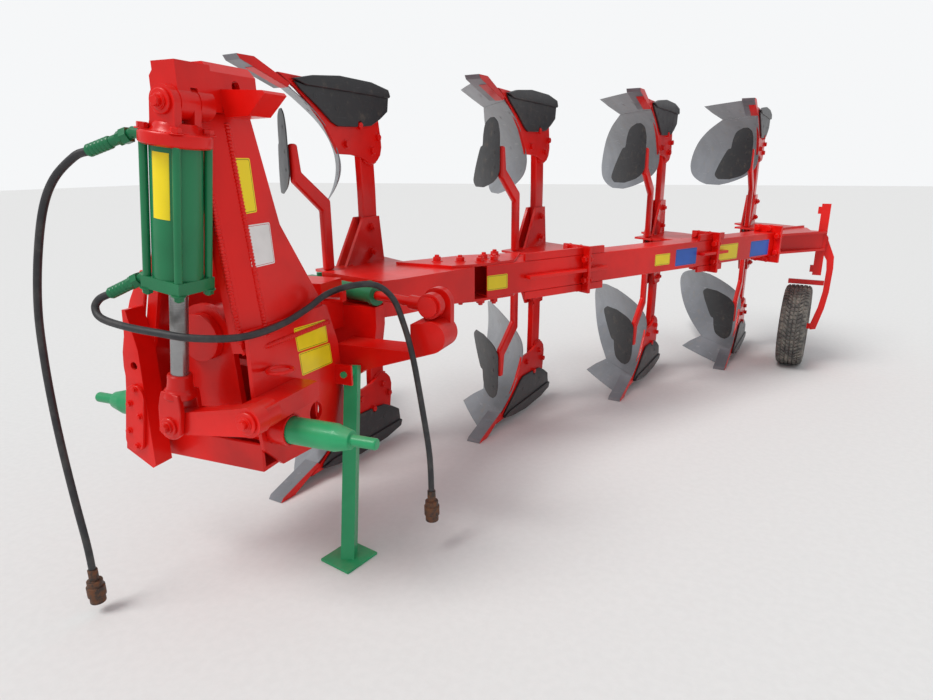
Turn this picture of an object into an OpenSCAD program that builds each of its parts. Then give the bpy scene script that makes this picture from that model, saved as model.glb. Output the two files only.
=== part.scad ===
// A four-furrow reversible mounted moldboard plough, parked on its lower bodies and its stand.
// Millimetres. +Y points rearward, away from the tractor, +X to the unploughed land, +Z up.
// x = 0 is the turnover shaft, y = 0 the cross shaft with the lower link pins, z = 0 the ground.

/* [Overall] */
// Height from the lower share points to the upper ones
total_h = 1787; // [1700:1:1900]
// Furrow width, from one body to the next across the travel
furrow_w = 452; // [430:1:470]
// Distance from one body to the next along the travel
body_gap = 953; // [940:1:970]
// Place of the first share point across the travel
first_tip_x = -182; // [-200:1:-170]
// Place of the first share point along the travel
first_tip_y = 456; // [440:1:470]
// Turn of the beam and its bodies against the headstock, from the width adjustment
body_yaw = 8.5; // [0:0.5:12]
// Number of body pairs
body_count = 4; // [3:1:4]

/* [Headstock] */
// Height of the lower link pins
link_z = 600; // [590:1:610]
// Radius of a lower link pin, category 3
link_pin_r = 18.3; // [18:0.1:19]
// Length of a lower link pin
link_pin_len = 86; // [70:1:100]
// Distance between the outer ends of the two pins
link_span = 1154; // [1100:1:1200]
// Radius of the cross shaft's thick part
cross_r = 44; // [40:1:50]
// Outside of the right cheek plate, from the turnover shaft
cheek_x = 208; // [200:1:215]
// Outside of the left cheek plate, from the turnover shaft
cheek_left_x = 235; // [230:1:245]
// Thickness of a cheek plate
cheek_t = 14; // [12:1:18]
// Height of the tower's top
tower_top = 1675; // [1650:1:1690]
// Radius of the top link's hole, category 3
top_link_r = 16; // [15.5:0.1:16.5]
// Outside radius of the turnover bearing's tube
bearing_r = 86; // [80:1:95]
// Radius of the turnover shaft
shaft_r = 56; // [50:1:60]

/* [Turnover ram] */
// Distance of the ram's plane in front of the cross shaft
ram_y = -165; // [-168:1:-162]
// Trunnion pin at the tower head, across
trunnion_x = 125; // [120:1:130]
// Trunnion pin at the tower head, height
trunnion_z = 1563; // [1555:1:1570]
// Clevis pin on the lever, across
clevis_x = -15; // [-20:1:-10]
// Clevis pin on the lever, height
clevis_z = 652; // [645:1:660]
// Lever boss, across
boss_x = 263; // [258:1:268]
// Lever boss, height
boss_z = 696; // [690:1:702]
// Outside radius of the ram's barrel
barrel_r = 67; // [62:1:72]
// Radius of the ram's rod
ram_rod_r = 26; // [24:1:28]

/* [Beam] */
// Side of the square beam
beam_w = 146; // [140:1:150]
// Beam's first flange, across
beam_ref_x = 780; // [770:1:790]
// Beam's first flange, along
beam_ref_y = 1674; // [1660:1:1690]
// Rear end of the beam, from the reference point
beam_end = 1710; // [1700:1:1720]
// Front end of the beam, from the reference point
beam_start = -590; // [-600:1:-580]

/* [Bodies] */
// Length of the landside, from the share point
landside_len = 865; // [840:1:880]
// Height of the landside
landside_h = 200; // [180:1:210]
// Place of the leg's middle behind the share point
leg_y = 728; // [700:1:740]
// Thickness of a leg
leg_t = 36; // [34:1:40]
// Depth of a leg along the travel
leg_d = 100; // [90:1:110]

/* [Wheel] */
// Radius of the tyre
tyre_r = 285; // [275:1:295]
// Width of the tyre
tyre_w = 172; // [165:1:180]
// Pivot of the wheel's arm, across
post_x = 2108; // [2095:1:2120]
// Pivot of the wheel's arm, along
post_y = 3440; // [3430:1:3450]

/* [Stand] */
// Stand's foot, across
stand_x = 302; // [295:1:310]
// Stand's foot, along
stand_y = 222; // [215:1:230]

/* [Hidden] */
$fn = 48;
// Place of the record's origin in the plough's own axes, under the middle of the bounding box
origin_x = 800;
origin_y = 2036;
mid_z = total_h / 2;
beam_angle = body_yaw + atan(furrow_w / body_gap);
beam_top = mid_z + beam_w / 2;
beam_low = mid_z - beam_w / 2;
red = [0.85, 0.10, 0.07];
green = [0.16, 0.52, 0.33];
light_green = [0.22, 0.66, 0.42];
black = [0.07, 0.07, 0.08];
steel = [0.45, 0.45, 0.46];
grey = [0.36, 0.37, 0.38];
rubber = [0.06, 0.06, 0.06];
rust = [0.30, 0.15, 0.10];

// Places and turns
module in_place() {
    translate([-origin_x, -origin_y, 0])
        children();
}
// Puts a child into one body pair's own axes, with its lower share point at the origin
module at_body(i) {
    translate([first_tip_x, first_tip_y, 0])
        rotate([0, 0, -body_yaw])
            translate([i * furrow_w, i * body_gap, 0])
                children();
}
// Mirrors what belongs to a lower body to the upper one
module upper_side() {
    translate([0, 0, total_h])
        mirror([0, 0, 1])
            children();
}
// Puts a child on the beam: s along it to the rear, off across it to the land
module on_beam(s, off = 0, z = 0) {
    translate([beam_ref_x, beam_ref_y, z])
        rotate([0, 0, -beam_angle])
            translate([off, s, 0])
                children();
}
// A cylinder along X, Y or Z from a start point
module rod_x(r, len) {
    rotate([0, 90, 0])
        cylinder(r = r, h = len);
}
module rod_y(r, len) {
    rotate([-90, 0, 0])
        cylinder(r = r, h = len);
}
// A rod from one point to another
module rod_between(a, b, r) {
    d = b - a;
    translate(a)
        rotate([0, acos(d[2] / norm(d)), atan2(d[1], d[0])])
            cylinder(r = r, h = norm(d));
}
// A plate whose outline is given as y and z, with its faces at x and x + t
module plate_yz(points, x, t) {
    translate([x, 0, 0])
        rotate([90, 0, 90])
            linear_extrude(height = t)
                polygon(points);
}
// A plate whose outline is given as x and z, with its faces at y and y + t
module plate_xz(points, y, t) {
    translate([0, y + t, 0])
        rotate([90, 0, 0])
            linear_extrude(height = t)
                polygon(points);
}
// A box from one corner to the other
module block(a, b) {
    translate(a)
        cube(b - a);
}

// Headstock
// Outline of a lower cheek plate, y and z
cheek_top = mid_z + 41.5;
cheek_outline = [[-84, 700], [-84, cheek_top], [323, cheek_top], [380, 791], [418, 441], [380, 432], [20, 462],
    [-62, 545]];
tower_lean_right = 6.2;
tower_lean_left = 16;
// Heights where the tower's legs start and where its head starts
leg_low_z = mid_z - 25.5;
head_low = 1545;
// Length of a leg before it is cut flush, measured along it
leg_spare = 36;
leg_top = (head_low - leg_low_z) / cos(tower_lean_left) + leg_spare;
// Outline of a tower leg's side plate, y and z, with heights measured along the leg
leg_outline = [[-84, 0], [-84, 140], [-88, leg_top], [96, leg_top], [158, 358], [300, 100], [330, 0]];
module cheek(side, outside) {
    difference() {
        union() {
            plate_yz(cheek_outline, side > 0 ? outside - cheek_t : -outside, cheek_t);
            translate([side * (outside - cheek_t / 2), 0, leg_low_z])
                rotate([0, side > 0 ? -tower_lean_right : tower_lean_left, 0])
                    tower_leg(side);
        }
        translate([-400, 0, link_z])
            rod_x(cross_r + 0.3, 800);
        translate([-400, 217, 572])
            rod_x(36, 800);
        // Both legs end flush under the cap, and the right one around the ram's lug
        block([-400, -200, head_low - 0.3], [400, 300, head_low + 300]);
        translate([trunnion_x, ram_y - 30, trunnion_z])
            rod_y(lug_r + 0.3, head_front - ram_y + 31.3);
    }
}
// Bent section of a tower leg in plan, x and y: side plate, slanting facet and front flange
leg_plan = [[7, 340], [7, 4], [-20, -85], [-58, -85], [-58, -71], [-30, -71], [-7, 6], [-7, 340]];
module tower_leg(side) {
    mirror([side > 0 ? 0 : 1, 0, 0]) {
        intersection() {
            linear_extrude(height = leg_top)
                polygon(leg_plan);
            plate_yz(leg_outline, -80, 100);
        }
        plate_yz([[20, 120], [0, leg_top], [14, leg_top], [34, 120]], -56, 54);
    }
}
// Lug that holds the stand's pin behind the right cheek
lug_front = 350;
lug_t = 10;
module stand_lug() {
    difference() {
        block([cheek_x - 6, lug_front, stand_pivot_z - 40], [stand_pivot_x + 30, lug_front + lug_t, stand_pivot_z + 36]);
        translate([stand_pivot_x, lug_front - 1, stand_pivot_z])
            rod_y(stand_pin_r + 0.3, lug_t + 2);
    }
}
// Rest that carries the lower hose behind the right leg
rest_z = leg_low_z + 98;
module hose_rest() {
    block([178, 284, rest_z - 8], [300, 312, rest_z]);
    block([292, 284, rest_z - 8], [300, 312, rest_z + 26]);
}
module cheek_right() {
    color(red)
        in_place() {
            cheek(1, cheek_x);
            hose_rest();
            stand_lug();
        }
}
module cheek_left() {
    color(red)
        in_place()
            cheek(-1, cheek_left_x);
}
head_front = -66;
lug_y = 22;
lug_r = 44;
ear_gap = 0.3;
ear_t = 24;
top_link_y = 30;
top_link_z = 1617;
top_link_x = 50;
top_link_span = 220;
// Flared tray on the right of the cap: its bent sheet and its closed front, x and height over the head's foot
tray_sheet = [[150, 59], [168, -12], [245, -10], [306, 45], [298, 53], [240, -1], [176, -3], [160, 61]];
tray_end = [[150, 59], [168, -12], [245, -10], [306, 45], [298, 53], [160, 61]];
tray_front = -34;
tray_back = 62;
module tower_tray() {
    translate([0, 0, head_low]) {
        plate_xz(tray_sheet, tray_front, tray_back - tray_front);
        plate_xz(tray_end, tray_front, 8);
    }
}
module tower_head() {
    color(red)
        in_place()
            difference() {
                union() {
                    tower_tray();
                    // Cap over both legs
                    translate([0, head_front, 0])
                        rotate([-90, 0, 0])
                            linear_extrude(height = 184)
                                polygon([[-60, -head_low], [-58, -tower_top + 26], [-34, -tower_top],
                                    [134, -tower_top], [158, -tower_top + 26], [160, -head_low]]);
                    // Lug for the ram between its two ears
                    translate([trunnion_x, ram_y - lug_y, trunnion_z])
                        rod_y(lug_r, head_front - ram_y + lug_y + 1);
                    block([trunnion_x - lug_r, ram_y - lug_y, trunnion_z],
                        [trunnion_x + 34, head_front + 1, tower_top - 12]);
                }
                block([-42, head_front + 16, head_low - 45], [142, 90, head_low + 103]);
                translate([-300, top_link_y, top_link_z])
                    rod_x(top_link_r, 600);
                translate([trunnion_x, ram_y - 60, trunnion_z])
                    rod_y(17, 140);
                // Room for the rear ear
                translate([trunnion_x, ram_y + lug_y, trunnion_z])
                    rod_y(50, ear_t + 2 * ear_gap);
                translate([trunnion_x - 50, ram_y + lug_y, trunnion_z - 150])
                    cube([100, ear_t + 2 * ear_gap, 150]);
            }
}
bearing_back = 330;
bearing_front = -40;
collar_r = 52;
arch_t = 22;
// The arch plate ends just above the cross shaft's tube
arch_low = link_z + collar_r + 0.3;
module bearing_housing() {
    color(red)
        in_place()
            difference() {
                union() {
                    translate([0, bearing_front, mid_z])
                        rod_y(bearing_r, bearing_back - bearing_front);
                    translate([0, bearing_front, mid_z])
                        rod_y(bearing_r + 16, arch_t);
                    // Arch plate under the ring
                    plate_xz([[-bearing_r - 16, mid_z], [-bearing_r - 34, arch_low], [bearing_r + 34, arch_low],
                        [bearing_r + 16, mid_z]], bearing_front, arch_t);
                    // Web plates from the tube to both cheeks
                    block([inner_left, 60, mid_z - 100], [inner_right, 80, leg_low_z - 8]);
                    block([inner_left, 262, mid_z - 120], [inner_right, 282, leg_low_z - 8]);
                }
                translate([0, -50, mid_z])
                    rod_y(shaft_r + 0.3, 460);
            }
}
// Plates of the lower box: front and back along the travel, bottom, front edge and back edge in height
box_front = -60;
box_back = 250;
box_low = 466;
box_lip = 560;
box_high = 700;
plate_gap = 0.2;
inner_left = -cheek_left_x + cheek_t + plate_gap;
inner_right = cheek_x - cheek_t - plate_gap;
module cross_box() {
    color(red)
        in_place()
            difference() {
                union() {
                    block([inner_left, box_front, box_low], [inner_right, box_front + cheek_t, box_lip]);
                    block([inner_left, box_front, box_low], [inner_right, box_back, box_low + cheek_t]);
                    block([inner_left, box_back - cheek_t, box_low], [inner_right, box_back, box_high]);
                    // Collar round the cross shaft outside each cheek and a tube between them
                    translate([cheek_x + 0.2, 0, link_z])
                        rod_x(collar_r, 66);
                    translate([-cheek_left_x - 66.2, 0, link_z])
                        rod_x(collar_r, 66);
                    translate([-cheek_left_x + cheek_t + 0.2, 0, link_z])
                        rod_x(collar_r, cheek_left_x + cheek_x - 2 * cheek_t - 0.4);
                }
                translate([-400, 0, link_z])
                    rod_x(cross_r + 0.3, 800);
            }
}
valve_front = -152;
module valve_box() {
    color(red)
        in_place()
            difference() {
                plate_xz([[-283, 512], [-178, 458], [-165, 466], [-165, 860], [-192, 985], [-206, 985], [-212, 914],
                    [-248, 690]], valve_front, -valve_front - 84.3);
                plate_xz([[-270, 518], [-180, 470], [-175, 478], [-175, 850], [-198, 955], [-202, 910],
                    [-238, 690]], valve_front + 10, 100);
                translate([-192, valve_front - 1, 806])
                    rod_y(13, 20);
            }
}
module valve_cover() {
    color(red)
        in_place()
            translate([-229, valve_front - 12.2, 552])
                rotate([0, 12, 0])
                    union() {
                        rod_y(37, 12);
                        translate([0, 0, 160])
                            rod_y(37, 12);
                        block([-37, 0, 0], [37, 12, 160]);
                    }
}
cross_thick = 464;
cross_taper = 30;
module cross_shaft() {
    half = link_span / 2;
    color(light_green)
        in_place()
            translate([0, 0, link_z])
                rotate([0, 90, 0])
                    rotate_extrude()
                        polygon([[0, -half], [link_pin_r - 3, -half], [link_pin_r, -half + 5],
                            [link_pin_r, -half + link_pin_len], [30, -half + link_pin_len + 2],
                            [cross_r, -cross_thick + cross_taper], [cross_r, cross_thick - cross_taper],
                            [30, half - link_pin_len - 2], [link_pin_r, half - link_pin_len],
                            [link_pin_r, half - 5], [link_pin_r - 3, half], [0, half]]);
}
lever_y = ram_y - 24;
lever_back = ram_y + 24;
module lever_mount() {
    color(red)
        in_place()
            difference() {
                union() {
                    translate([boss_x, lever_back + 0.3, boss_z])
                        rod_y(42, -84.3 - lever_back);
                    block([cheek_x + 0.3, lever_back + 0.3, boss_z - 28], [boss_x + 34, 118, boss_z + 34]);
                }
                translate([boss_x, ram_y - 40, boss_z])
                    rod_y(17, 100);
                translate([0, 0, link_z])
                    rod_x(collar_r + 0.5, 400);
            }
}
// Pressed hook that holds the hoses, on the outside of the right leg
module hose_holder() {
    color(red)
        in_place()
            translate([cheek_x + 44, -10, 796])
                difference() {
                    cylinder(r = 44, h = 10);
                    translate([0, 0, -1])
                        cylinder(r = 33, h = 12);
                }
}

// Turnover ram: its own axis runs from the trunnion pin down to the clevis pin
ram_dx = clevis_x - trunnion_x;
ram_dz = clevis_z - trunnion_z;
ram_lean = atan(ram_dx / ram_dz);
ram_len = sqrt(ram_dx * ram_dx + ram_dz * ram_dz);
// Distances below the trunnion pin
head_top = 73;
barrel_top = 108;
barrel_end = 462;
gland_h = 35;
rod_end = 770;
// Inner end of the rod, with room for its stroke under the barrel's head
rod_top = 372;
module on_ram() {
    translate([trunnion_x, ram_y, trunnion_z])
        rotate([0, ram_lean, 0])
            children();
}
module ram_barrel() {
    color(green)
        in_place()
            on_ram()
                translate([0, 0, -barrel_end])
                    difference() {
                        cylinder(r = barrel_r, h = barrel_end - barrel_top);
                        translate([0, 0, -1])
                            cylinder(r = barrel_r - 8, h = barrel_end - barrel_top - 20);
                    }
}
tie_off = 56;
module ram_tie_rods() {
    color(green)
        in_place()
            on_ram()
                for (a = [45 : 90 : 315])
                    rotate([0, 0, a])
                        translate([tie_off * sqrt(2), 0, -barrel_end - 8])
                            cylinder(r = 11, h = barrel_end - barrel_top + 16);
}
ram_square = 136;
module ram_head() {
    color(red)
        in_place()
            on_ram()
                difference() {
                    union() {
                        translate([0, 0, -barrel_top + 0.2])
                            linear_extrude(height = barrel_top - head_top)
                                square([ram_square, ram_square], center = true);
                        for (y = [-lug_y - ear_gap - ear_t, lug_y + ear_gap])
                            union() {
                                translate([0, y, 0])
                                    rod_y(42, ear_t);
                                block([-42, y, -barrel_top + 20], [42, y + ear_t, 0]);
                            }
                    }
                    for (a = [45 : 90 : 315])
                        rotate([0, 0, a])
                            translate([tie_off * sqrt(2), 0, -barrel_top - 1])
                                cylinder(r = 11.4, h = 12);
                    translate([0, -80, 0])
                        rod_y(17, 160);
                }
}
module ram_gland() {
    color(green)
        in_place()
            on_ram()
                translate([0, 0, -barrel_end - gland_h - 0.2])
                    difference() {
                        linear_extrude(height = gland_h)
                            square([ram_square, ram_square], center = true);
                        for (a = [45 : 90 : 315])
                            rotate([0, 0, a])
                                translate([tie_off * sqrt(2), 0, gland_h - 10])
                                    cylinder(r = 11.4, h = 12);
                        translate([0, 0, -1])
                            cylinder(r = ram_rod_r + 0.3, h = gland_h + 2);
                    }
}
module ram_rod() {
    color(steel)
        in_place()
            on_ram()
                translate([0, 0, -rod_end])
                    cylinder(r = ram_rod_r, h = rod_end - rod_top);
}
clevis_slot = 84;
fork_t = 20;
module ram_clevis() {
    color(red)
        in_place()
            on_ram()
                difference() {
                    union() {
                        translate([0, 0, -rod_end - 0.2 - 50])
                            cylinder(r = 36, h = 50);
                        translate([0, -24 - ear_gap - fork_t, -ram_len])
                            rod_y(44, 2 * (24 + ear_gap + fork_t));
                        block([-44, -24 - ear_gap - fork_t, -ram_len], [44, 24 + ear_gap + fork_t, -rod_end - 40]);
                    }
                    block([-60, -24 - ear_gap, -ram_len - 60], [60, 24 + ear_gap, -ram_len + clevis_slot]);
                    translate([0, -80, -ram_len])
                        rod_y(17, 160);
                }
}
module turnover_lever() {
    dx = clevis_x - boss_x;
    dz = clevis_z - boss_z;
    reach = sqrt(dx * dx + dz * dz);
    color(red)
        in_place()
            translate([boss_x, lever_back, boss_z])
                rotate([0, 180 - atan(dz / dx), 0])
                    rotate([90, 0, 0])
                        linear_extrude(height = lever_back - lever_y)
                            difference() {
                                union() {
                                    circle(r = 46);
                                    translate([reach, 0])
                                        circle(r = 38);
                                    polygon([[0, -44], [reach, -34], [reach, 34], [0, 44]]);
                                }
                                circle(r = 17);
                                translate([reach, 0])
                                    circle(r = 17);
                            }
}

// Hoses of the turnover ram, in the plough's axes
hose_r = 11;
hose_sides = 8;
hose_upper_route = [[-122, -246, 1444], [-161, -256, 1431], [-228, -275, 1374], [-272, -292, 1290],
    [-315, -304, 1150], [-350, -308, 1000], [-360, -312, 850], [-355, -318, 700], [-345, -322, 560],
    [-328, -326, 400], [-308, -330, 250], [-306, -330, 160]];
hose_lower_route = [[-150, -228, 1052], [-181, -238, 1037], [-193, -247, 1012], [-162, -256, 985],
    [-60, -262, 970], [60, -260, 962], [140, -236, 950], [211, -160, 936], [223, -50, 926], [223, 80, 930],
    [223, 200, 950], [240, 285, 981], [300, 345, 1003], [370, 388, 1003], [430, 400, 960], [468, 398, 880],
    [505, 392, 760], [545, 380, 560], [574, 366, 400], [580, 362, 262]];
function unit(v) = v / norm(v);
// Smooth points through a route, n steps on each stretch
function route_point(p, i, t) =
    let (a = p[max(i - 1, 0)], b = p[i], c = p[i + 1], d = p[min(i + 2, len(p) - 1)])
    0.5 * ((2 * b) + (c - a) * t + (2 * a - 5 * b + 4 * c - d) * t * t
    + (3 * b - a - 3 * c + d) * t * t * t);
function smooth(p, n) = concat([for (i = [0 : len(p) - 2]) for (k = [0 : n - 1]) route_point(p, i, k / n)],
    [p[len(p) - 1]]);
function tangent(q, i) = unit(q[min(i + 1, len(q) - 1)] - q[max(i - 1, 0)]);
// Carries a side vector along the route without twist
function sides(q, i = 0, s = [1, 0, 0.01]) =
    let (t = tangent(q, i), u = unit(s - (s * t) * t))
    i == len(q) - 1 ? [u] : concat([u], sides(q, i + 1, u));
module tube(route, r, steps) {
    q = smooth(route, steps);
    u = sides(q);
    n = len(q);
    m = hose_sides;
    points = [for (i = [0 : n - 1]) let (t = tangent(q, i), w = cross(t, u[i])) for (k = [0 : m - 1])
        q[i] + r * (cos(360 * k / m) * u[i] + sin(360 * k / m) * w)];
    walls = [for (i = [0 : n - 2]) for (k = [0 : m - 1])
        [i * m + k, i * m + (k + 1) % m, (i + 1) * m + (k + 1) % m, (i + 1) * m + k]];
    ends = [[for (k = [m - 1 : -1 : 0]) k], [for (k = [0 : m - 1]) (n - 1) * m + k]];
    polyhedron(points, concat(walls, ends), convexity = 6);
}
module hose_upper() {
    color(rubber)
        in_place()
            tube(hose_upper_route, hose_r, 3);
}
module hose_lower() {
    color(rubber)
        in_place()
            tube(hose_lower_route, hose_r, 3);
}
// Crimped sleeves run from the ram's ports to the hoses
sleeve_gap_upper = [1.8, 0.45, 0.6];
sleeve_gap_lower = [0.9, 0.3, 0.45];
module hose_fitting_upper() {
    color(green)
        in_place() {
            on_ram()
                translate([-ram_square / 2 - 0.2, -45, -barrel_top + 20])
                    rotate([0, -90, 0])
                        cylinder(r = 15, h = 34);
            rod_between([16, -210, 1490], hose_upper_route[0] + sleeve_gap_upper, 14);
        }
}
module hose_fitting_lower() {
    color(green)
        in_place() {
            on_ram()
                translate([-ram_square / 2 - 0.2, -30, -barrel_end - gland_h / 2])
                    rotate([0, -90, 0])
                        cylinder(r = 15, h = 34);
            rod_between([-42, -195, 1103], hose_lower_route[0] + sleeve_gap_lower, 14);
        }
}
module coupling(at) {
    translate(at - [0, 0, 120.6])
        difference() {
            union() {
                cylinder(r = 24, h = 80);
                translate([0, 0, 24])
                    cylinder(r = 28, h = 36);
                cylinder(r = 15, h = 120);
            }
            translate([0, 0, -1])
                cylinder(r = 12, h = 45);
        }
}
module coupling_upper() {
    color(rust)
        in_place()
            coupling(hose_upper_route[len(hose_upper_route) - 1] - [0, 0, 0]);
}
module coupling_lower() {
    color(rust)
        in_place()
            coupling(hose_lower_route[len(hose_lower_route) - 1] - [0, 0, 0]);
}

// Turning frame
shaft_end = 470;
module turnover_shaft() {
    color(red)
        in_place()
            translate([0, -70, mid_z])
                union() {
                    rod_y(shaft_r, shaft_end + 70);
                    rod_y(shaft_r + 20, 28);
                }
}
// Room under the width ram
ram_room = 45;
pivot_y = 430;
arm_front = 450;
arm_back = 570;
head_back = 640;
module pivot_head() {
    color(red)
        in_place()
            difference() {
                union() {
                    block([-120, pivot_y, mid_z - 100], [118, arm_back, mid_z + 90]);
                    block([-120, arm_back - 5, mid_z - 98.5], [118, arm_back + 5, width_z - ram_room]);
                    translate([0, 0, mid_z])
                        plate_xz([[-120, -93.5], [-60, -233.5], [150, -257.5], [240, -233.5], [262, -93.5],
                            [262, width_rise - ram_room], [-120, width_rise - ram_room]],
                            arm_back + 0.3, head_back - arm_back - 0.3);
                    translate([0, pivot_y - 60, mid_z])
                        rod_y(shaft_r + 34, 62);
                }
                translate([0, pivot_y - 70, mid_z])
                    rod_y(shaft_r + 0.3, shaft_end - pivot_y + 70.3);
            }
}
// Circles of the pressed arm, x, height over the turning axis, and radius: the lobe, the bend and the eye
width_rise = 27.5;
width_z = mid_z + width_rise;
arm_lobe = [216, -199.5, 62];
arm_bend = [546, -81.5, 58];
arm_eye = [536, width_rise, 56];
module offset_arm() {
    color(red)
        in_place()
            translate([0, 0, mid_z]) {
                difference() {
                    translate([0, arm_back, 0])
                        rotate([90, 0, 0])
                            linear_extrude(height = arm_back - arm_front)
                                union() {
                                    for (c = [arm_lobe, arm_bend])
                                        translate([c[0], c[1]])
                                            circle(r = c[2]);
                                    polygon([[198, -257.5], [566, -136.5], [596, -63.5], [560, -25.5],
                                        [200, -75.5], [158, -133.5], [155, -213.5]]);
                                }
                    block([100, arm_front - 1, -141.5], [470, arm_back + 1, 6.5]);
                }
                // Lug and pin that hold the rod's eye
                translate([arm_eye[0], arm_back - 34, arm_eye[1]])
                    rod_y(arm_eye[2], 34);
                plate_xz([[arm_eye[0] - 55, 36.5], [arm_eye[0] - 50, -93.5], [arm_eye[0] + 54, -63.5],
                    [arm_eye[0] + 56, 36.5]], arm_back - 34, 34);
                translate([arm_eye[0], eye_front + eye_t + 0.3, arm_eye[1]])
                    rod_y(26, arm_back - eye_front - eye_t - 20);
                translate([arm_eye[0], eye_front - 16, arm_eye[1]])
                    rod_y(eye_pin_r, arm_back - eye_front - 20);
                translate([arm_eye[0], eye_front - 16, arm_eye[1]])
                    rod_y(36, 15.7);
            }
}
// Width ram: from the arm's eye to the left and rearward over the pivot head
eye_front = 470;
eye_t = 39;
eye_pin_r = 20;
width_angle = 19.4;
pocket_z = 39;
module on_width() {
    translate([arm_eye[0], eye_front + eye_t / 2, width_z])
        rotate([0, 0, 180 - width_angle])
            children();
}
module width_ram() {
    color(green)
        in_place()
            on_width()
                difference() {
                    union() {
                        translate([290, 0, 0])
                            rod_x(34, 400);
                        translate([288, 0, 0])
                            rod_x(40, 24);
                        // Ports for the hoses
                        translate([330, 0, 30])
                            cylinder(r = 11, h = 22);
                        translate([650, 0, 30])
                            cylinder(r = 11, h = 22);
                        // Tail block that stands on the front box
                        block([670, -30, -pocket_z + 0.6], [742, 30, 30]);
                    }
                    translate([280, 0, 0])
                        rod_x(18.3, 330);
                }
}
module width_rod() {
    color(red)
        in_place()
            on_width()
                difference() {
                    union() {
                        translate([40, 0, 0])
                            rod_x(18, 300);
                        translate([0, 0, 0])
                            rotate([0, 0, width_angle])
                                translate([0, -eye_t / 2, 0])
                                    rod_y(46, eye_t);
                        translate([40, 0, 0])
                            rod_x(26, 60);
                    }
                    rotate([0, 0, width_angle])
                        translate([0, -60, 0])
                            rod_y(eye_pin_r + 0.3, 120);
                }
}
// A point beside the beam, s along it from the first flange and off across it
function beam_xy(s, off) = [beam_ref_x + off * cos(beam_angle) + s * sin(beam_angle),
    beam_ref_y - off * sin(beam_angle) + s * cos(beam_angle)];
box_side = 215;
cap_t = 12;
module beam_front() {
    half = beam_w / 2;
    outline = [[-150, head_back + 0.3], [256, head_back + 0.3], [300, 706], beam_xy(-659, half),
        beam_xy(beam_start - 0.3, -half - 0.3), beam_xy(-230, -half - 0.3), beam_xy(-270, -150),
        beam_xy(-525, -box_side), beam_xy(-1205, -box_side), [-150, 745]];
    cap = [beam_xy(-900, -box_side + 10), beam_xy(-760, half - 30), beam_xy(-640, half - 4),
        beam_xy(-430, half - 10), beam_xy(-250, -half - 40), beam_xy(-525, -box_side + 10)];
    color(red)
        in_place()
            difference() {
                union() {
                    linear_extrude_between(beam_low, beam_top)
                        polygon(outline);
                    linear_extrude_between(beam_top + 0.3, beam_top + cap_t)
                        polygon(cap);
                    linear_extrude_between(beam_low - cap_t, beam_low - 0.3)
                        polygon(cap);
                    linear_extrude_between(beam_low - 2, beam_low + 1)
                        polygon([beam_xy(-860, -box_side + 30), beam_xy(-760, 0), beam_xy(-690, 0),
                            beam_xy(-560, -box_side + 30)]);
                    linear_extrude_between(beam_top - 1, beam_top + 2)
                        polygon([beam_xy(-860, -box_side + 30), beam_xy(-760, 0), beam_xy(-690, 0),
                            beam_xy(-560, -box_side + 30)]);
                }
                on_width()
                    block([-200, -44, -pocket_z], [1000, 400, 200]);
            }
}
module linear_extrude_between(a, b) {
    translate([0, 0, a])
        linear_extrude(height = b - a)
            children();
}
beam_wall = 10;
module beam_main() {
    color(red)
        in_place()
            on_beam(0, 0, mid_z)
                difference() {
                    block([-beam_w / 2, beam_start, -beam_w / 2], [beam_w / 2, beam_end, beam_w / 2]);
                    block([-beam_w / 2 + beam_wall, beam_start - 10, -beam_w / 2 + beam_wall],
                        [beam_w / 2 - beam_wall, beam_end + 10, beam_w / 2 - beam_wall]);
                }
}
// Flange stations along the beam
flange_s = [0, 1045, 1692];
flange_w = 44;
module beam_flanges() {
    color(red)
        in_place()
            for (s = flange_s)
                on_beam(s, 0, mid_z)
                    difference() {
                        block([-beam_w / 2, 0, -beam_w / 2 - flange_w],
                            [beam_w / 2 + flange_w, 18, beam_w / 2 + flange_w]);
                        block([-beam_w / 2 - 1, -1, -beam_w / 2 - 0.2],
                            [beam_w / 2 + 0.2, 19, beam_w / 2 + 0.2]);
                    }
}
// Ribs on the land side before and behind each flange: start and end along the beam
rib_runs = [[-370, -0.3], [18.3, 150], [930, 1044.7], [1063.3, 1160]];
module beam_stiffeners() {
    half = beam_w / 2;
    color(red)
        in_place()
            for (r = rib_runs)
                on_beam(0, 0, mid_z) {
                    block([half + 0.3, r[0], -8], [half + 38, r[1], 8]);
                    block([half - 16, r[0], half + 0.3], [half, r[1], half + 36]);
                    block([half - 16, r[0], -half - 36], [half, r[1], -half - 0.3]);
                }
}
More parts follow.
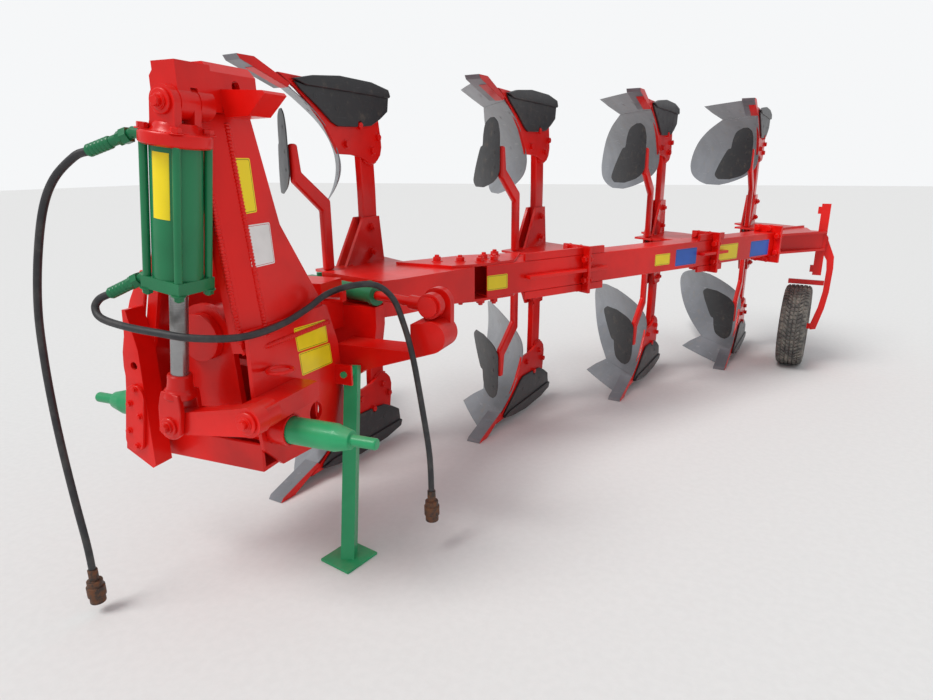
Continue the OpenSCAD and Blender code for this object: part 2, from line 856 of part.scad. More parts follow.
// A point in the wheel arm pivot's axes
function post_xy(x, y) = [post_x + x * cos(body_yaw) + y * sin(body_yaw),
    post_y - x * sin(body_yaw) + y * cos(body_yaw)];
module at_post() {
    translate([post_x, post_y, 0])
        rotate([0, 0, -body_yaw])
            children();
}
tail_end = 2290;
stop_front = -60;
stop_back = -36;
stop_low = 655;
module beam_tail() {
    half = beam_w / 2;
    start = beam_end + 0.3;
    plan = [beam_xy(start, half), post_xy(28, stop_front + 1), post_xy(-28, stop_front + 1),
        [post_x - 80, post_y - 42], beam_xy(tail_end, -40), beam_xy(tail_end, -half), beam_xy(start, -half)];
    web = [beam_xy(start, -10), post_xy(6, stop_front + 1), post_xy(-6, stop_front + 1), beam_xy(start, -22)];
    color(red)
        in_place()
            union() {
                linear_extrude_between(beam_top - 26, beam_top - 12)
                    polygon(plan);
                linear_extrude_between(beam_low + 4, beam_low + 18)
                    polygon(plan);
                linear_extrude_between(beam_low + 10, beam_top - 20)
                    polygon(web);
                on_beam(0, 0, mid_z) {
                    block([-half, start, -half], [half, start + 14, half]);
                    block([-half, start, -half + 4], [-half + 12, tail_end, half - 12]);
                }
                // Upright plate with the stops and the pivot pin of the wheel arm
                at_post() {
                    block([-27, stop_front, stop_low], [27, stop_back, total_h - stop_low]);
                    translate([0, stop_back - 1, mid_z])
                        rod_y(pin_r, 70);
                    for (z = [stop_low + 20, total_h - stop_low - 66])
                        block([-46, stop_front + 2, z], [26, stop_back - 2, z + 46]);
                }
            }
}
pin_r = 24;

// Bodies
// Outline of a bracket's side plate, y and z
bracket_rise = 273.5;
bracket_side = [[520, mid_z - 62], [520, mid_z + 62], [leg_y - 70, mid_z + bracket_rise],
    [leg_y + 48, mid_z + bracket_rise], [leg_y + 74, mid_z + 62], [leg_y + 74, mid_z - 62],
    [leg_y + 48, mid_z - bracket_rise], [leg_y - 70, mid_z - bracket_rise]];
leg_left = -55;
leg_right = leg_left + leg_t;
plate_t = 14;
// One bracket in its body's axes; reach is how far its arm comes to the beam
module bracket(reach) {
    for (x = [leg_left - plate_t - 0.3, leg_right + 0.3])
        plate_yz(bracket_side, x, plate_t);
    rotate([0, 0, body_yaw - beam_angle]) {
        for (z = [mid_z - 62, mid_z + 50])
            linear_extrude_between(z, z + 12)
                polygon([[-260, 330], [-130, 330], [-100, 380], [reach, 400], [reach, 700], [-220, 760],
                    [-430, 760], [-440, 600], [-300, 520]]);
        block([reach - 14, 400, mid_z - 72], [reach, 700, mid_z + 72]);
        block([-270, 470, mid_z - 51], [reach - 10, 484, mid_z + 51]);
        block([-240, 650, mid_z - 51], [reach - 10, 664, mid_z + 51]);
    }
}
function beam_reach(i) = (i == 0 ? beam_off - box_side : beam_off - beam_w / 2) - 0.3;
// Distance of the beam's middle from the line of the share points
beam_off = (beam_ref_x - first_tip_x) * cos(beam_angle) - (beam_ref_y - first_tip_y) * sin(beam_angle);
module body_brackets() {
    color(red)
        in_place()
            for (i = [0 : body_count - 1])
                at_body(i)
                    bracket(beam_reach(i));
}
leg_low = 210;
module leg() {
    plate_yz([[leg_y - leg_d / 2 - 10, leg_low], [leg_y - leg_d / 2, 500], [leg_y - leg_d / 2, mid_z - 63],
        [leg_y + leg_d / 2, mid_z - 63], [leg_y + leg_d / 2, 500], [leg_y + leg_d / 2 - 10, leg_low]],
        leg_left, leg_t);
}
module legs_lower() {
    color(red)
        in_place()
            for (i = [0 : body_count - 1])
                at_body(i)
                    leg();
}
module legs_upper() {
    color(red)
        in_place()
            for (i = [0 : body_count - 1])
                at_body(i)
                    upper_side()
                        leg();
}
frog_t = 16;
module frog() {
    plate_yz([[190, 40], [282, 92], [358, 150], [432, 220], [486, 300], [505, 385], [leg_y - 90, 400],
        [leg_y - 60, 430], [leg_y + 50, 430], [leg_y + 76, 390], [leg_y + 70, 330], [800, 190], [800, 40]],
        leg_right + 0.3, frog_t);
}
module frogs_lower() {
    color(red)
        in_place()
            for (i = [0 : body_count - 1])
                at_body(i)
                    frog();
}
module frogs_upper() {
    color(red)
        in_place()
            for (i = [0 : body_count - 1])
                at_body(i)
                    upper_side()
                        frog();
}
landside_t = 12;
module landside() {
    plate_yz([[150, 0], [190, 110], [420, landside_h], [landside_len - 30, landside_h], [landside_len, 0]],
        leg_right + frog_t + 0.6, landside_t);
}
module landsides_lower() {
    color(black)
        in_place()
            for (i = [0 : body_count - 1])
                at_body(i)
                    landside();
}
module landsides_upper() {
    color(black)
        in_place()
            for (i = [0 : body_count - 1])
                at_body(i)
                    upper_side()
                        landside();
}

// Mouldboard surface: distance behind the share point as a function of place across and height
function board_y(x, z) = 70 + 2.1 * z - 0.00275 * z * z + 0.95 * abs(x) + 0.00035 * x * x;
// Skimmer board surface in the same way
function skim_y(x, z) = 205 + 0.6 * abs(x) + 0.0006 * x * x;
// Edges of the mouldboard by height
// Columns: height, x of the land or top edge, x of the tail edge
board_rows = [[95, -3, -270], [150, -3, -400], [220, -3, -505], [300, -3, -570], [380, -3, -598],
    [440, -25, -592], [490, -90, -555], [530, -190, -480], [552, -280, -400]];
board_cols = 8;
board_t = 8;
function sheet_point(r, k, cols, back, skim) =
    let (x = r[1] + (r[2] - r[1]) * k / cols)
    [x, (skim ? skim_y(x, r[0]) : board_y(x, r[0])) + back, r[0]];
// A curved sheet from rows of points, with the same rows set back by the thickness
module sheet(rows, cols, t, skim = false) {
    n = len(rows);
    m = cols + 1;
    points = concat([for (r = rows) for (k = [0 : cols]) sheet_point(r, k, cols, 0, skim)],
        [for (r = rows) for (k = [0 : cols]) sheet_point(r, k, cols, t, skim)]);
    b = n * m;
    front = [for (j = [0 : n - 2]) for (k = [0 : cols - 1]) for (h = [0, 1])
        h == 0 ? [j * m + k, j * m + k + 1, (j + 1) * m + k + 1]
            : [j * m + k, (j + 1) * m + k + 1, (j + 1) * m + k]];
    back = [for (f = front) [b + f[2], b + f[1], b + f[0]]];
    rim_a = [for (k = [0 : cols - 1]) [k, b + k, b + k + 1, k + 1]];
    rim_b = [for (k = [0 : cols - 1])
        [(n - 1) * m + k + 1, b + (n - 1) * m + k + 1, b + (n - 1) * m + k, (n - 1) * m + k]];
    rim_c = [for (j = [0 : n - 2]) [(j + 1) * m, b + (j + 1) * m, b + j * m, j * m]];
    rim_d = [for (j = [0 : n - 2])
        [j * m + cols, b + j * m + cols, b + (j + 1) * m + cols, (j + 1) * m + cols]];
    polyhedron(points, concat(front, back, rim_a, rim_b, rim_c, rim_d), convexity = 6);
}
module mouldboards_lower() {
    color(grey)
        in_place()
            for (i = [0 : body_count - 1])
                at_body(i)
                    sheet(board_rows, board_cols, board_t);
}
module mouldboards_upper() {
    color(grey)
        in_place()
            for (i = [0 : body_count - 1])
                at_body(i)
                    upper_side()
                        sheet(board_rows, board_cols, board_t);
}
// Share: a blade under the mouldboard and a bar with the point
share_rows = [[0, -45, -400], [45, -25, -345], [94.5, -3, -268]];
share_t = 11;
bar_w = 76;
module share() {
    sheet(share_rows, 4, share_t);
    plate_yz([[0, 0], [14, 18], [236, 92], [252, 76], [80, 0]], -bar_w - 3, bar_w);
}
module shares_lower() {
    color(grey)
        in_place()
            for (i = [0 : body_count - 1])
                at_body(i)
                    share();
}
module shares_upper() {
    color(grey)
        in_place()
            for (i = [0 : body_count - 1])
                at_body(i)
                    upper_side()
                        share();
}
// Skimmer arm: upright bar clamped to the bracket, cranked forward to the board
arm_x = -29;
arm_t = 30;
arm_y = 411;
module skimmer_arm() {
    plate_yz([[arm_y + 27, mid_z - 62.3], [arm_y - 27, mid_z - 62.3], [arm_y - 27, 575], [230.2, 450],
        [230.2, 300], [262, 300], [276, 410], [arm_y + 27, 530]], arm_x, arm_t);
}
module skimmer_arms_lower() {
    color(red)
        in_place()
            for (i = [0 : body_count - 1])
                at_body(i)
                    skimmer_arm();
}
module skimmer_arms_upper() {
    color(red)
        in_place()
            for (i = [0 : body_count - 1])
                at_body(i)
                    upper_side()
                        skimmer_arm();
}
skim_rows = [[165, -55, -95], [200, -25, -132], [260, -10, -168], [320, -8, -198], [380, -8, -226],
    [430, -14, -252], [472, -60, -264], [500, -150, -236]];
skim_t = 7;
module skimmer() {
    sheet(skim_rows, 5, skim_t, true);
}
module skimmers_lower() {
    color(grey)
        in_place()
            for (i = [0 : body_count - 1])
                at_body(i)
                    skimmer();
}
module skimmers_upper() {
    color(grey)
        in_place()
            for (i = [0 : body_count - 1])
                at_body(i)
                    upper_side()
                        skimmer();
}

// Parking stand: a raked leg on a pin behind the right cheek
stand_w = 50;
foot_t = 10;
foot_turn = 14;
stand_pivot_x = 246;
stand_pivot_y = 408;
stand_pivot_z = 672;
stand_pin_r = 12;
stand_dx = stand_pivot_x - stand_x;
stand_dy = stand_pivot_y - stand_y;
stand_dz = stand_pivot_z - foot_t;
stand_len = norm([stand_dx, stand_dy, stand_dz]);
module stand() {
    color(light_green)
        in_place()
            union() {
                translate([stand_x, stand_y, 0])
                    rotate([0, 0, -foot_turn])
                        block([-70, -75, 0], [70, 75, foot_t]);
                difference() {
                    translate([stand_x, stand_y, foot_t])
                        rotate([0, 0, atan(-stand_dx / stand_dy)])
                            rotate([-atan(norm([stand_dx, stand_dy]) / stand_dz), 0, 0])
                                block([-stand_w / 2, -stand_w / 2, -20], [stand_w / 2, stand_w / 2, stand_len + 18]);
                    block([stand_x - 80, stand_y - 80, -50], [stand_x + 80, stand_y + 80, foot_t - 2]);
                }
                translate([stand_pivot_x, lug_front - 8, stand_pivot_z])
                    rod_y(stand_pin_r, stand_pivot_y - lug_front + 8);
                translate([stand_pivot_x, lug_front + lug_t + 0.3, stand_pivot_z])
                    rod_y(22, stand_pivot_y - lug_front - lug_t - 10);
            }
}

// Depth wheel, in its arm pivot's axes
wheel_off = -95;
wheel_back = -10;
hub_z = tyre_r;
arm_half = 12;
module at_hub() {
    at_post()
        translate([wheel_off, wheel_back, hub_z])
            children();
}
module tyre() {
    half = tyre_w / 2;
    color(rubber)
        in_place()
            at_hub()
                rotate([0, 90, 0])
                    rotate_extrude($fn = 72)
                        polygon([[195, -half + 22], [205, -half + 4], [240, -half], [tyre_r - 14, -half + 8],
                            [tyre_r, -half + 26], [tyre_r, half - 26], [tyre_r - 14, half - 8], [240, half],
                            [205, half - 4], [195, half - 22]]);
}
module wheel_rim() {
    color(grey)
        in_place()
            at_hub()
                rotate([0, 90, 0])
                    rotate_extrude($fn = 72)
                        polygon([[20.3, -50], [60, -50], [60, -10], [170, 0], [170, -62], [194.7, -66],
                            [194.7, 66], [176, 62], [176, 12], [60, 4], [60, 56], [20.3, 56]]);
}
// Outline of the wheel's arm, x and z
wheel_arm_points = [[-30, mid_z + 20], [26, mid_z + 26], [88, 780], [94, 700], [90, 536], [76, 420], [42, 270],
    [8, 262], [4, 300], [36, 424], [52, 540], [54, 690], [46, 756], [-26, mid_z - 26]];
module wheel_arm() {
    color(red)
        in_place()
            at_post()
                difference() {
                    union() {
                        translate([0, wheel_back, 0])
                            plate_xz(wheel_arm_points, -arm_half, 2 * arm_half);
                        translate([0, stop_back + 0.3, mid_z])
                            rod_y(40, wheel_back + arm_half - stop_back - 0.3);
                        // Stub axle
                        translate([wheel_off - 58, wheel_back, hub_z])
                            rod_x(20, 58 - wheel_off + 20);
                    }
                    translate([0, -100, mid_z])
                        rod_y(pin_r + 0.3, 200);
                }
}
module wheel_scraper() {
    color(red)
        in_place()
            at_post()
                block([-170, wheel_back - arm_half, 2 * tyre_r + 10], [51.7, wheel_back + arm_half, 2 * tyre_r + 42]);
}

cheek_right();
cheek_left();
tower_head();
bearing_housing();
cross_box();
valve_box();
valve_cover();
cross_shaft();
lever_mount();
hose_holder();
ram_barrel();
ram_tie_rods();
ram_head();
ram_gland();
hose_fitting_upper();
hose_fitting_lower();
hose_upper();
hose_lower();
coupling_upper();
coupling_lower();
ram_rod();
ram_clevis();
turnover_lever();
turnover_shaft();
pivot_head();
offset_arm();
width_ram();
width_rod();
beam_front();
beam_main();
beam_flanges();
beam_stiffeners();
beam_tail();
body_brackets();
legs_lower();
legs_upper();
frogs_lower();
frogs_upper();
landsides_lower();
landsides_upper();
mouldboards_lower();
mouldboards_upper();
shares_lower();
shares_upper();
skimmer_arms_lower();
skimmer_arms_upper();
skimmers_lower();
skimmers_upper();
stand();
wheel_arm();
wheel_scraper();
tyre();
wheel_rim();
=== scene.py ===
# %% [markdown]
# A four-furrow reversible plough for a tractor's three-point hitch, parked on its lower bodies and its
# stand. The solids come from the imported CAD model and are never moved. This script gives them their
# finishes and adds what a solid model leaves out: bolts, welds, tread, hoses and blank stickers. Each
# step says what the thing is on the machine and why it is made so.

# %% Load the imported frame
import math
import random
import bmesh
import bpy
from mathutils import Matrix, Vector


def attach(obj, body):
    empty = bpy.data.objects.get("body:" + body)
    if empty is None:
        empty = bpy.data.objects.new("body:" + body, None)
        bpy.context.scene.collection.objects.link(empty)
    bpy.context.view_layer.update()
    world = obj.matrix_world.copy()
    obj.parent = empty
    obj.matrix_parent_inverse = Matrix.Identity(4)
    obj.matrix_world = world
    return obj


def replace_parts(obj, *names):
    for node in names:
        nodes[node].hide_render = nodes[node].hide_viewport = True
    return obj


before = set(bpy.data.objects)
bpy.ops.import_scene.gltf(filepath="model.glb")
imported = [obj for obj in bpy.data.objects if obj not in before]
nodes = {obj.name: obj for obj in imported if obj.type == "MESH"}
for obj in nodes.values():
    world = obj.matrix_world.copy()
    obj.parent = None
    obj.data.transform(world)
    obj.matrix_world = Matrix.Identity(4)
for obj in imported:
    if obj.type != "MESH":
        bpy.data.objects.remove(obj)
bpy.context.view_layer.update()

# %% [markdown]
# The frame's origin lies under the middle of the whole machine. The plough's own axes are easier to think
# in: x across from the turnover shaft, y rearward from the lower link pins, z up from the ground. One
# function turns such a place, in millimetres, into metres in the frame.

# %% The plough's own axes
MM = 0.001
ORIGIN = Vector((0.800, 2.036, 0.0))
TOTAL_HEIGHT = 1.787
MID_HEIGHT = TOTAL_HEIGHT / 2
YAW = math.radians(8.5)
FURROW = 0.452
BODY_GAP = 0.953
FIRST_TIP = Vector((-0.182, 0.456, 0.0))
BODY_COUNT = 4


def plough(x, y, z):
    """A place in the plough's axes, in millimetres, as a point of the frame in metres."""
    return Vector((x, y, z)) * MM - ORIGIN


TO_FRAME = Matrix.Translation(-ORIGIN)
TURN = Matrix.Rotation(-YAW, 4, "Z")
UPPER = Matrix.Translation((0, 0, TOTAL_HEIGHT)) @ Matrix.Scale(-1, 4, (0, 0, 1))


def body_place(index, upper):
    """The matrix from one body's own axes, with the share point at its origin, to the frame."""
    place = TO_FRAME @ Matrix.Translation(FIRST_TIP) @ TURN
    place = place @ Matrix.Translation((index * FURROW, index * BODY_GAP, 0))
    return place @ UPPER if upper else place


def link(name, data):
    """A new object of the scene that holds this data."""
    made = bpy.data.objects.new(name, data)
    bpy.context.scene.collection.objects.link(made)
    return made


bodies = {side: [body_place(i, side == "upper") for i in range(BODY_COUNT)] for side in ("lower", "upper")}
all_bodies = [place for pair in zip(*bodies.values()) for place in pair]
print("bodies placed:", len(all_bodies))

# %% [markdown]
# The camera comes first, because the hoses have to stay in its view. It stands to the right of the
# headstock at a grown person's eye height and looks slightly down, with a wide lens.

# %% Camera
CAMERA_PLACE = plough(1477.1, -1525.4, 1407.3)
CAMERA_TURN = math.radians(21.81)
CAMERA_DOWN = math.radians(16.36)
CAMERA_ROLL = math.radians(-0.40)
LENS = 24.56
camera = link("camera", bpy.data.cameras.new("camera"))
camera.data.lens = LENS
camera.data.sensor_width = 36
camera.data.clip_start = 0.05
camera.matrix_world = (Matrix.Translation(CAMERA_PLACE) @ Matrix.Rotation(CAMERA_TURN, 4, "Z")
                       @ Matrix.Rotation(math.pi / 2 - CAMERA_DOWN, 4, "X")
                       @ Matrix.Rotation(CAMERA_ROLL, 4, "Z"))
bpy.context.scene.camera = camera
print("camera at", [round(v, 3) for v in camera.location])

# %% [markdown]
# Most finishes share the same few nodes, so small helpers write them: a node with its inputs, a noise in
# object space, which for these parts is real metres, patches cut out of such a noise, and a bump. A new
# finish is then only a few lines.

# %% Helpers for finishes
def wire(tree, node, wires):
    """Joins a node's inputs to other nodes' outputs, or gives them values."""
    for socket, value in wires.items():
        if isinstance(value, bpy.types.NodeSocket):
            tree.links.new(value, node.inputs[socket])
        else:
            node.inputs[socket].default_value = value


def add(tree, kind, wires=None, **settings):
    """One node: settings are its own choices, wires its inputs."""
    made = tree.nodes.new(kind)
    for key, value in settings.items():
        setattr(made, key, value)
    wire(tree, made, wires or {})
    return made


def new_finish(name):
    """An empty material with one surface shader. Returns the material, its tree and the shader."""
    material = bpy.data.materials.new(name)
    material.use_nodes = True
    tree = material.node_tree
    tree.nodes.clear()
    shader = add(tree, "ShaderNodeBsdfPrincipled")
    add(tree, "ShaderNodeOutputMaterial", {"Surface": shader.outputs["BSDF"]})
    return material, tree, shader


def noise(tree, scale, detail=4.0, stretch=(1, 1, 1), rough=0.55):
    """A noise in metres of the frame, stretched along the axes if asked."""
    where = add(tree, "ShaderNodeTexCoord").outputs["Object"]
    spread = add(tree, "ShaderNodeMapping", {"Vector": where, "Scale": stretch})
    made = add(tree, "ShaderNodeTexNoise",
               {"Vector": spread.outputs[0], "Scale": scale, "Detail": detail, "Roughness": rough})
    return made.outputs["Fac"]


def mask(tree, value, low, high):
    """0 below low, 1 above high, smooth between."""
    return add(tree, "ShaderNodeMapRange", {"Value": value, "From Min": low, "From Max": high},
               interpolation_type="SMOOTHSTEP").outputs["Result"]


def patches(tree, low, high, *grain, **options):
    """Patches with soft edges, where a noise of this grain rises from low to high."""
    return mask(tree, noise(tree, *grain, **options), low, high)


def span(tree, value, low, high):
    """The value's 0 to 1 as low to high."""
    return add(tree, "ShaderNodeMapRange", {"Value": value, "To Min": low, "To Max": high}).outputs["Result"]


def maths(tree, operation, a, b):
    """Two values or outputs added, multiplied or compared."""
    return add(tree, "ShaderNodeMath", {0: a, 1: b}, operation=operation).outputs[0]


def times(tree, a, b):
    """The product of two values or outputs."""
    return maths(tree, "MULTIPLY", a, b)


def mixed(tree, share, a, b):
    """Colour a where share is 0, b where it is 1."""
    return add(tree, "ShaderNodeMix", {0: share, 6: a, 7: b}, data_type="RGBA").outputs[2]


def bump(tree, height, strength, distance, under=None):
    """A normal tilted by a height, over an earlier bump if there is one."""
    wires = {"Height": height, "Strength": strength, "Distance": distance}
    if under:
        wires["Normal"] = under
    return add(tree, "ShaderNodeBump", wires).outputs[0]


def facing_up(tree):
    """1 where the surface faces the sky, where dust can settle."""
    normal = add(tree, "ShaderNodeNewGeometry").outputs["Normal"]
    return mask(tree, add(tree, "ShaderNodeSeparateXYZ", {"Vector": normal}).outputs["Z"], 0.35, 0.95)


def rgb(*screen):
    """A colour from 0 to 255 screen values, as Blender's linear values."""
    def linear(v):
        return v / 12.92 if v <= 0.04045 else ((v + 0.055) / 1.055) ** 2.4
    return (*(linear(v / 255) for v in screen), 1.0)


def shade(colour, factor):
    """A darker or lighter shade of a colour."""
    return (*(min(1.0, c * factor) for c in colour[:3]), 1.0)


DUST = rgb(150, 136, 116)
print("helpers for finishes are ready")

# %% [markdown]
# The plough is freshly painted in a glossy signal red. A thick coat over castings and rolled plate is
# never even: it pools, shows a faint orange peel, and holds a film of yard dust where it faces up. The
# red itself shifts slightly from plate to plate. A clear coat on the shader gives the wet gloss.

# %% Painted steel
def painted(name, colour, gloss=0.30, coat=0.16, dust=0.10, peel=0.06):
    """A glossy paint with tone changes, settled dust, fine specks and an orange peel."""
    material, tree, shader = new_finish(name)
    deep = shade(colour, 0.80)
    tone = mixed(tree, patches(tree, 0.35, 0.65, 2.3, 5), deep, shade(colour, 1.12))
    specks = patches(tree, 0.66, 0.74, 75, 6, rough=0.7)
    tone = mixed(tree, times(tree, specks, 0.35), tone, deep)
    settled = times(tree, facing_up(tree), patches(tree, 0.42, 0.72, 7, 9, rough=0.65))
    settled = times(tree, settled, dust)
    smear = span(tree, noise(tree, 11, 6), gloss * 0.75, gloss * 1.35)
    waves = bump(tree, noise(tree, 38, 3), peel, 0.01)
    wire(tree, shader, {"Base Color": mixed(tree, settled, tone, DUST),
                        "Roughness": maths(tree, "ADD", smear, times(tree, settled, 0.55)),
                        "Normal": bump(tree, noise(tree, 260, 4), peel * 0.5, 0.002, waves),
                        "Coat Weight": coat, "Coat Roughness": 0.12, "Specular IOR Level": 0.30})
    return material


red_paint = painted("red_paint", rgb(224, 16, 8))
green_paint = painted("green_paint", rgb(28, 120, 76))
light_green_paint = painted("light_green_paint", rgb(46, 166, 108), gloss=0.34, dust=0.25)
print("paints:", red_paint.name, green_paint.name, light_green_paint.name)

# %% [markdown]
# The mouldboards and shares were sprayed a satin grey. Soil has not polished them yet, so they keep a
# soft sheen, with a few long scour marks in the way the earth slides and a little dirt. The landsides and
# the skimmers are black and dull.

# %% Grey and black plate
def plate_finish(name, colour, scoured, gloss, coat, dirt):
    """Satin sprayed plate with long scour marks and clinging dirt."""
    material, tree, shader = new_finish(name)
    tone = mixed(tree, patches(tree, 0.34, 0.66, 3.1, 6), shade(colour, 0.72), colour)
    marks = patches(tree, 0.58, 0.70, 26, 7, stretch=(0.35, 0.35, 3.2), rough=0.7)
    tone = mixed(tree, times(tree, marks, 0.40), tone, scoured)
    clinging = times(tree, patches(tree, 0.52, 0.74, 17, 9, rough=0.7), dirt)
    smear = span(tree, noise(tree, 19, 6), gloss * 0.8, gloss * 1.3)
    wire(tree, shader, {"Base Color": mixed(tree, clinging, tone, DUST),
                        "Roughness": maths(tree, "ADD", smear, times(tree, clinging, 0.4)),
                        "Normal": bump(tree, noise(tree, 55, 5), 0.10, 0.006),
                        "Coat Weight": coat, "Coat Roughness": 0.25})
    return material


grey_body = plate_finish("grey_body", rgb(128, 131, 138), rgb(168, 170, 174), 0.36, coat=0.25, dirt=0.35)
black_body = plate_finish("black_body", rgb(40, 40, 43), rgb(84, 84, 86), 0.42, coat=0.2, dirt=0.22)
print("plate finishes:", grey_body.name, black_body.name)

# %% [markdown]
# The ram's rod is ground steel with a little grease on it: its scratches run round the rod and it is
# darker where the grease holds dirt. The couplings on the hoses' ends are bare steel gone brown with rust.

# %% Bare steel and rust
def rod_finish():
    """Ground steel, brushed round the rod, with grease."""
    material, tree, shader = new_finish("rod_steel")
    rings = noise(tree, 90, 3, stretch=(0.2, 0.2, 6.0))
    grease = patches(tree, 0.45, 0.70, 13, 6, stretch=(1, 1, 0.5))
    steel = mixed(tree, rings, rgb(128, 128, 130), rgb(176, 176, 176))
    wire(tree, shader, {"Base Color": mixed(tree, times(tree, grease, 0.55), steel, rgb(84, 78, 70)),
                        "Roughness": span(tree, grease, 0.22, 0.42),
                        "Normal": bump(tree, rings, 0.12, 0.001), "Metallic": 0.85})
    return material


def rust_finish():
    """Brown rust over steel, rough and pitted."""
    material, tree, shader = new_finish("coupling_steel")
    rust = patches(tree, 0.40, 0.62, 42, 8, rough=0.7)
    wire(tree, shader, {"Base Color": mixed(tree, rust, rgb(62, 50, 44), rgb(118, 78, 54)),
                        "Roughness": span(tree, rust, 0.38, 0.78),
                        "Normal": bump(tree, noise(tree, 300, 6), 0.35, 0.001), "Metallic": 0.35})
    return material


rod_steel = rod_finish()
coupling_steel = rust_finish()
print("bare steel:", rod_steel.name, coupling_steel.name)

# %% [markdown]
# Rubber is never pure black. A hose's cover is a smooth dark grey with a faint cloth mark from its
# making. The wheel's tyre has stood in soil: dust lies in its grooves and over its shoulders.

# %% Rubber
def rubber_finish(name, colour, dusty, dust_share, gloss, cloth=0.0):
    """Dull rubber with dust, and a fine cloth mark where asked."""
    material, tree, shader = new_finish(name)
    film = times(tree, patches(tree, 0.40, 0.70, 21, 8, rough=0.65), dust_share)
    height = noise(tree, 420, 3)
    if cloth:
        where = add(tree, "ShaderNodeTexCoord").outputs["Object"]
        weave = add(tree, "ShaderNodeTexWave", {"Vector": where, "Scale": 260.0, "Distortion": 1.5},
                    bands_direction="DIAGONAL")
        height = mixed(tree, 0.5, height, weave.outputs["Color"])
    wire(tree, shader, {"Base Color": mixed(tree, film, colour, dusty),
                        "Roughness": span(tree, noise(tree, 30, 5), gloss * 0.85, gloss * 1.2),
                        "Normal": bump(tree, height, 0.18 + cloth, 0.001)})
    return material


hose_rubber = rubber_finish("hose_rubber", rgb(38, 38, 42), rgb(92, 88, 84), 0.35, 0.48, cloth=0.08)
tyre_rubber = rubber_finish("tyre_rubber", rgb(86, 84, 82), rgb(152, 146, 136), 0.80, 0.82)
print("rubber:", hose_rubber.name, tyre_rubber.name)

# %% [markdown]
# Two hydraulic hoses hang from the turnover ram. Each is a fixed length of hose, so its route is a short
# list of given places, the same that the CAD model sweeps its tube along. A Bezier curve runs
# through them smoothly, and a round bevel makes it a hose.

# %% Hoses
HOSE_DIAMETER = 0.022
UPPER_ROUTE = [(-122, -246, 1444), (-161, -256, 1431), (-228, -275, 1374), (-272, -292, 1290),
               (-315, -304, 1150), (-350, -308, 1000), (-360, -312, 850), (-355, -318, 700),
               (-345, -322, 560), (-328, -326, 400), (-308, -330, 250), (-306, -330, 160)]
LOWER_ROUTE = [(-150, -228, 1052), (-181, -238, 1037), (-193, -247, 1012), (-162, -256, 985),
               (-60, -262, 970), (60, -260, 962), (140, -236, 950), (211, -160, 936), (223, -50, 926),
               (223, 80, 930), (223, 200, 950), (240, 285, 981), (300, 345, 1003), (370, 388, 1003),
               (430, 400, 960), (468, 398, 880), (505, 392, 760), (545, 380, 560), (574, 366, 400),
               (580, 362, 262)]


def curve_length(curve):
    """The length of a curve object's own line, in metres."""
    flat = curve.data.copy()
    flat.bevel_depth = 0
    probe = bpy.data.objects.new("probe", flat)
    mesh = probe.to_mesh()
    total = sum((mesh.vertices[e.vertices[0]].co - mesh.vertices[e.vertices[1]].co).length
                for e in mesh.edges)
    probe.to_mesh_clear()
    bpy.data.objects.remove(probe)
    bpy.data.curves.remove(flat)
    return total


def hose(name, route):
    """A round hose through the places of a route."""
    data = bpy.data.curves.new(name, "CURVE")
    data.dimensions = "3D"
    data.bevel_depth = HOSE_DIAMETER / 2
    data.bevel_resolution = 5
    data.resolution_u = 10
    data.use_fill_caps = True
    spline = data.splines.new("BEZIER")
    spline.bezier_points.add(len(route) - 1)
    places = [plough(*p) for p in route]
    for i, point in enumerate(spline.bezier_points):
        along = (places[min(i + 1, len(places) - 1)] - places[max(i - 1, 0)]) / 6
        point.co = places[i]
        point.handle_left = places[i] - along
        point.handle_right = places[i] + along
    data.materials.append(hose_rubber)
    return link(name, data)


for name, route, node in (("hose_upper_tube", UPPER_ROUTE, "upper"),
                          ("hose_lower_tube", LOWER_ROUTE, "lower")):
    tube = hose(name, route)
    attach(tube, "ram_barrel")
    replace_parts(tube, f"hose_{node}")
    length = round(curve_length(tube), 3)
    print(name, "metres:", length)

# %% [markdown]
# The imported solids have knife-sharp edges, which no flame-cut and painted plate has. A weld and a planar
# dissolve clean up each mesh's triangles, and a small bevel then rounds the edges so that they catch the
# light. All three are modifiers, so the CAD mesh itself stays as it is.

# %% Dress the CAD nodes
def soften(thing, width, degrees):
    """A small round bevel on edges sharper than an angle."""
    bevel = thing.modifiers.new("bevel", "BEVEL")
    bevel.width = width
    bevel.segments = 2
    bevel.limit_method = "ANGLE"
    bevel.angle_limit = math.radians(degrees)


def dress(name, finish, width):
    """Gives a CAD node its finish, smooth shading and, where asked, rounded edges."""
    node = nodes[name]
    node.data.materials.clear()
    node.data.materials.append(finish)
    node.data.shade_smooth()
    if width:
        node.modifiers.new("weld", "WELD").merge_threshold = 0.00005
        flat = node.modifiers.new("flat", "DECIMATE")
        flat.decimate_type = "DISSOLVE"
        flat.angle_limit = math.radians(1.0)
        soften(node, width, 28)
    node.modifiers.new("smooth", "WEIGHTED_NORMAL")


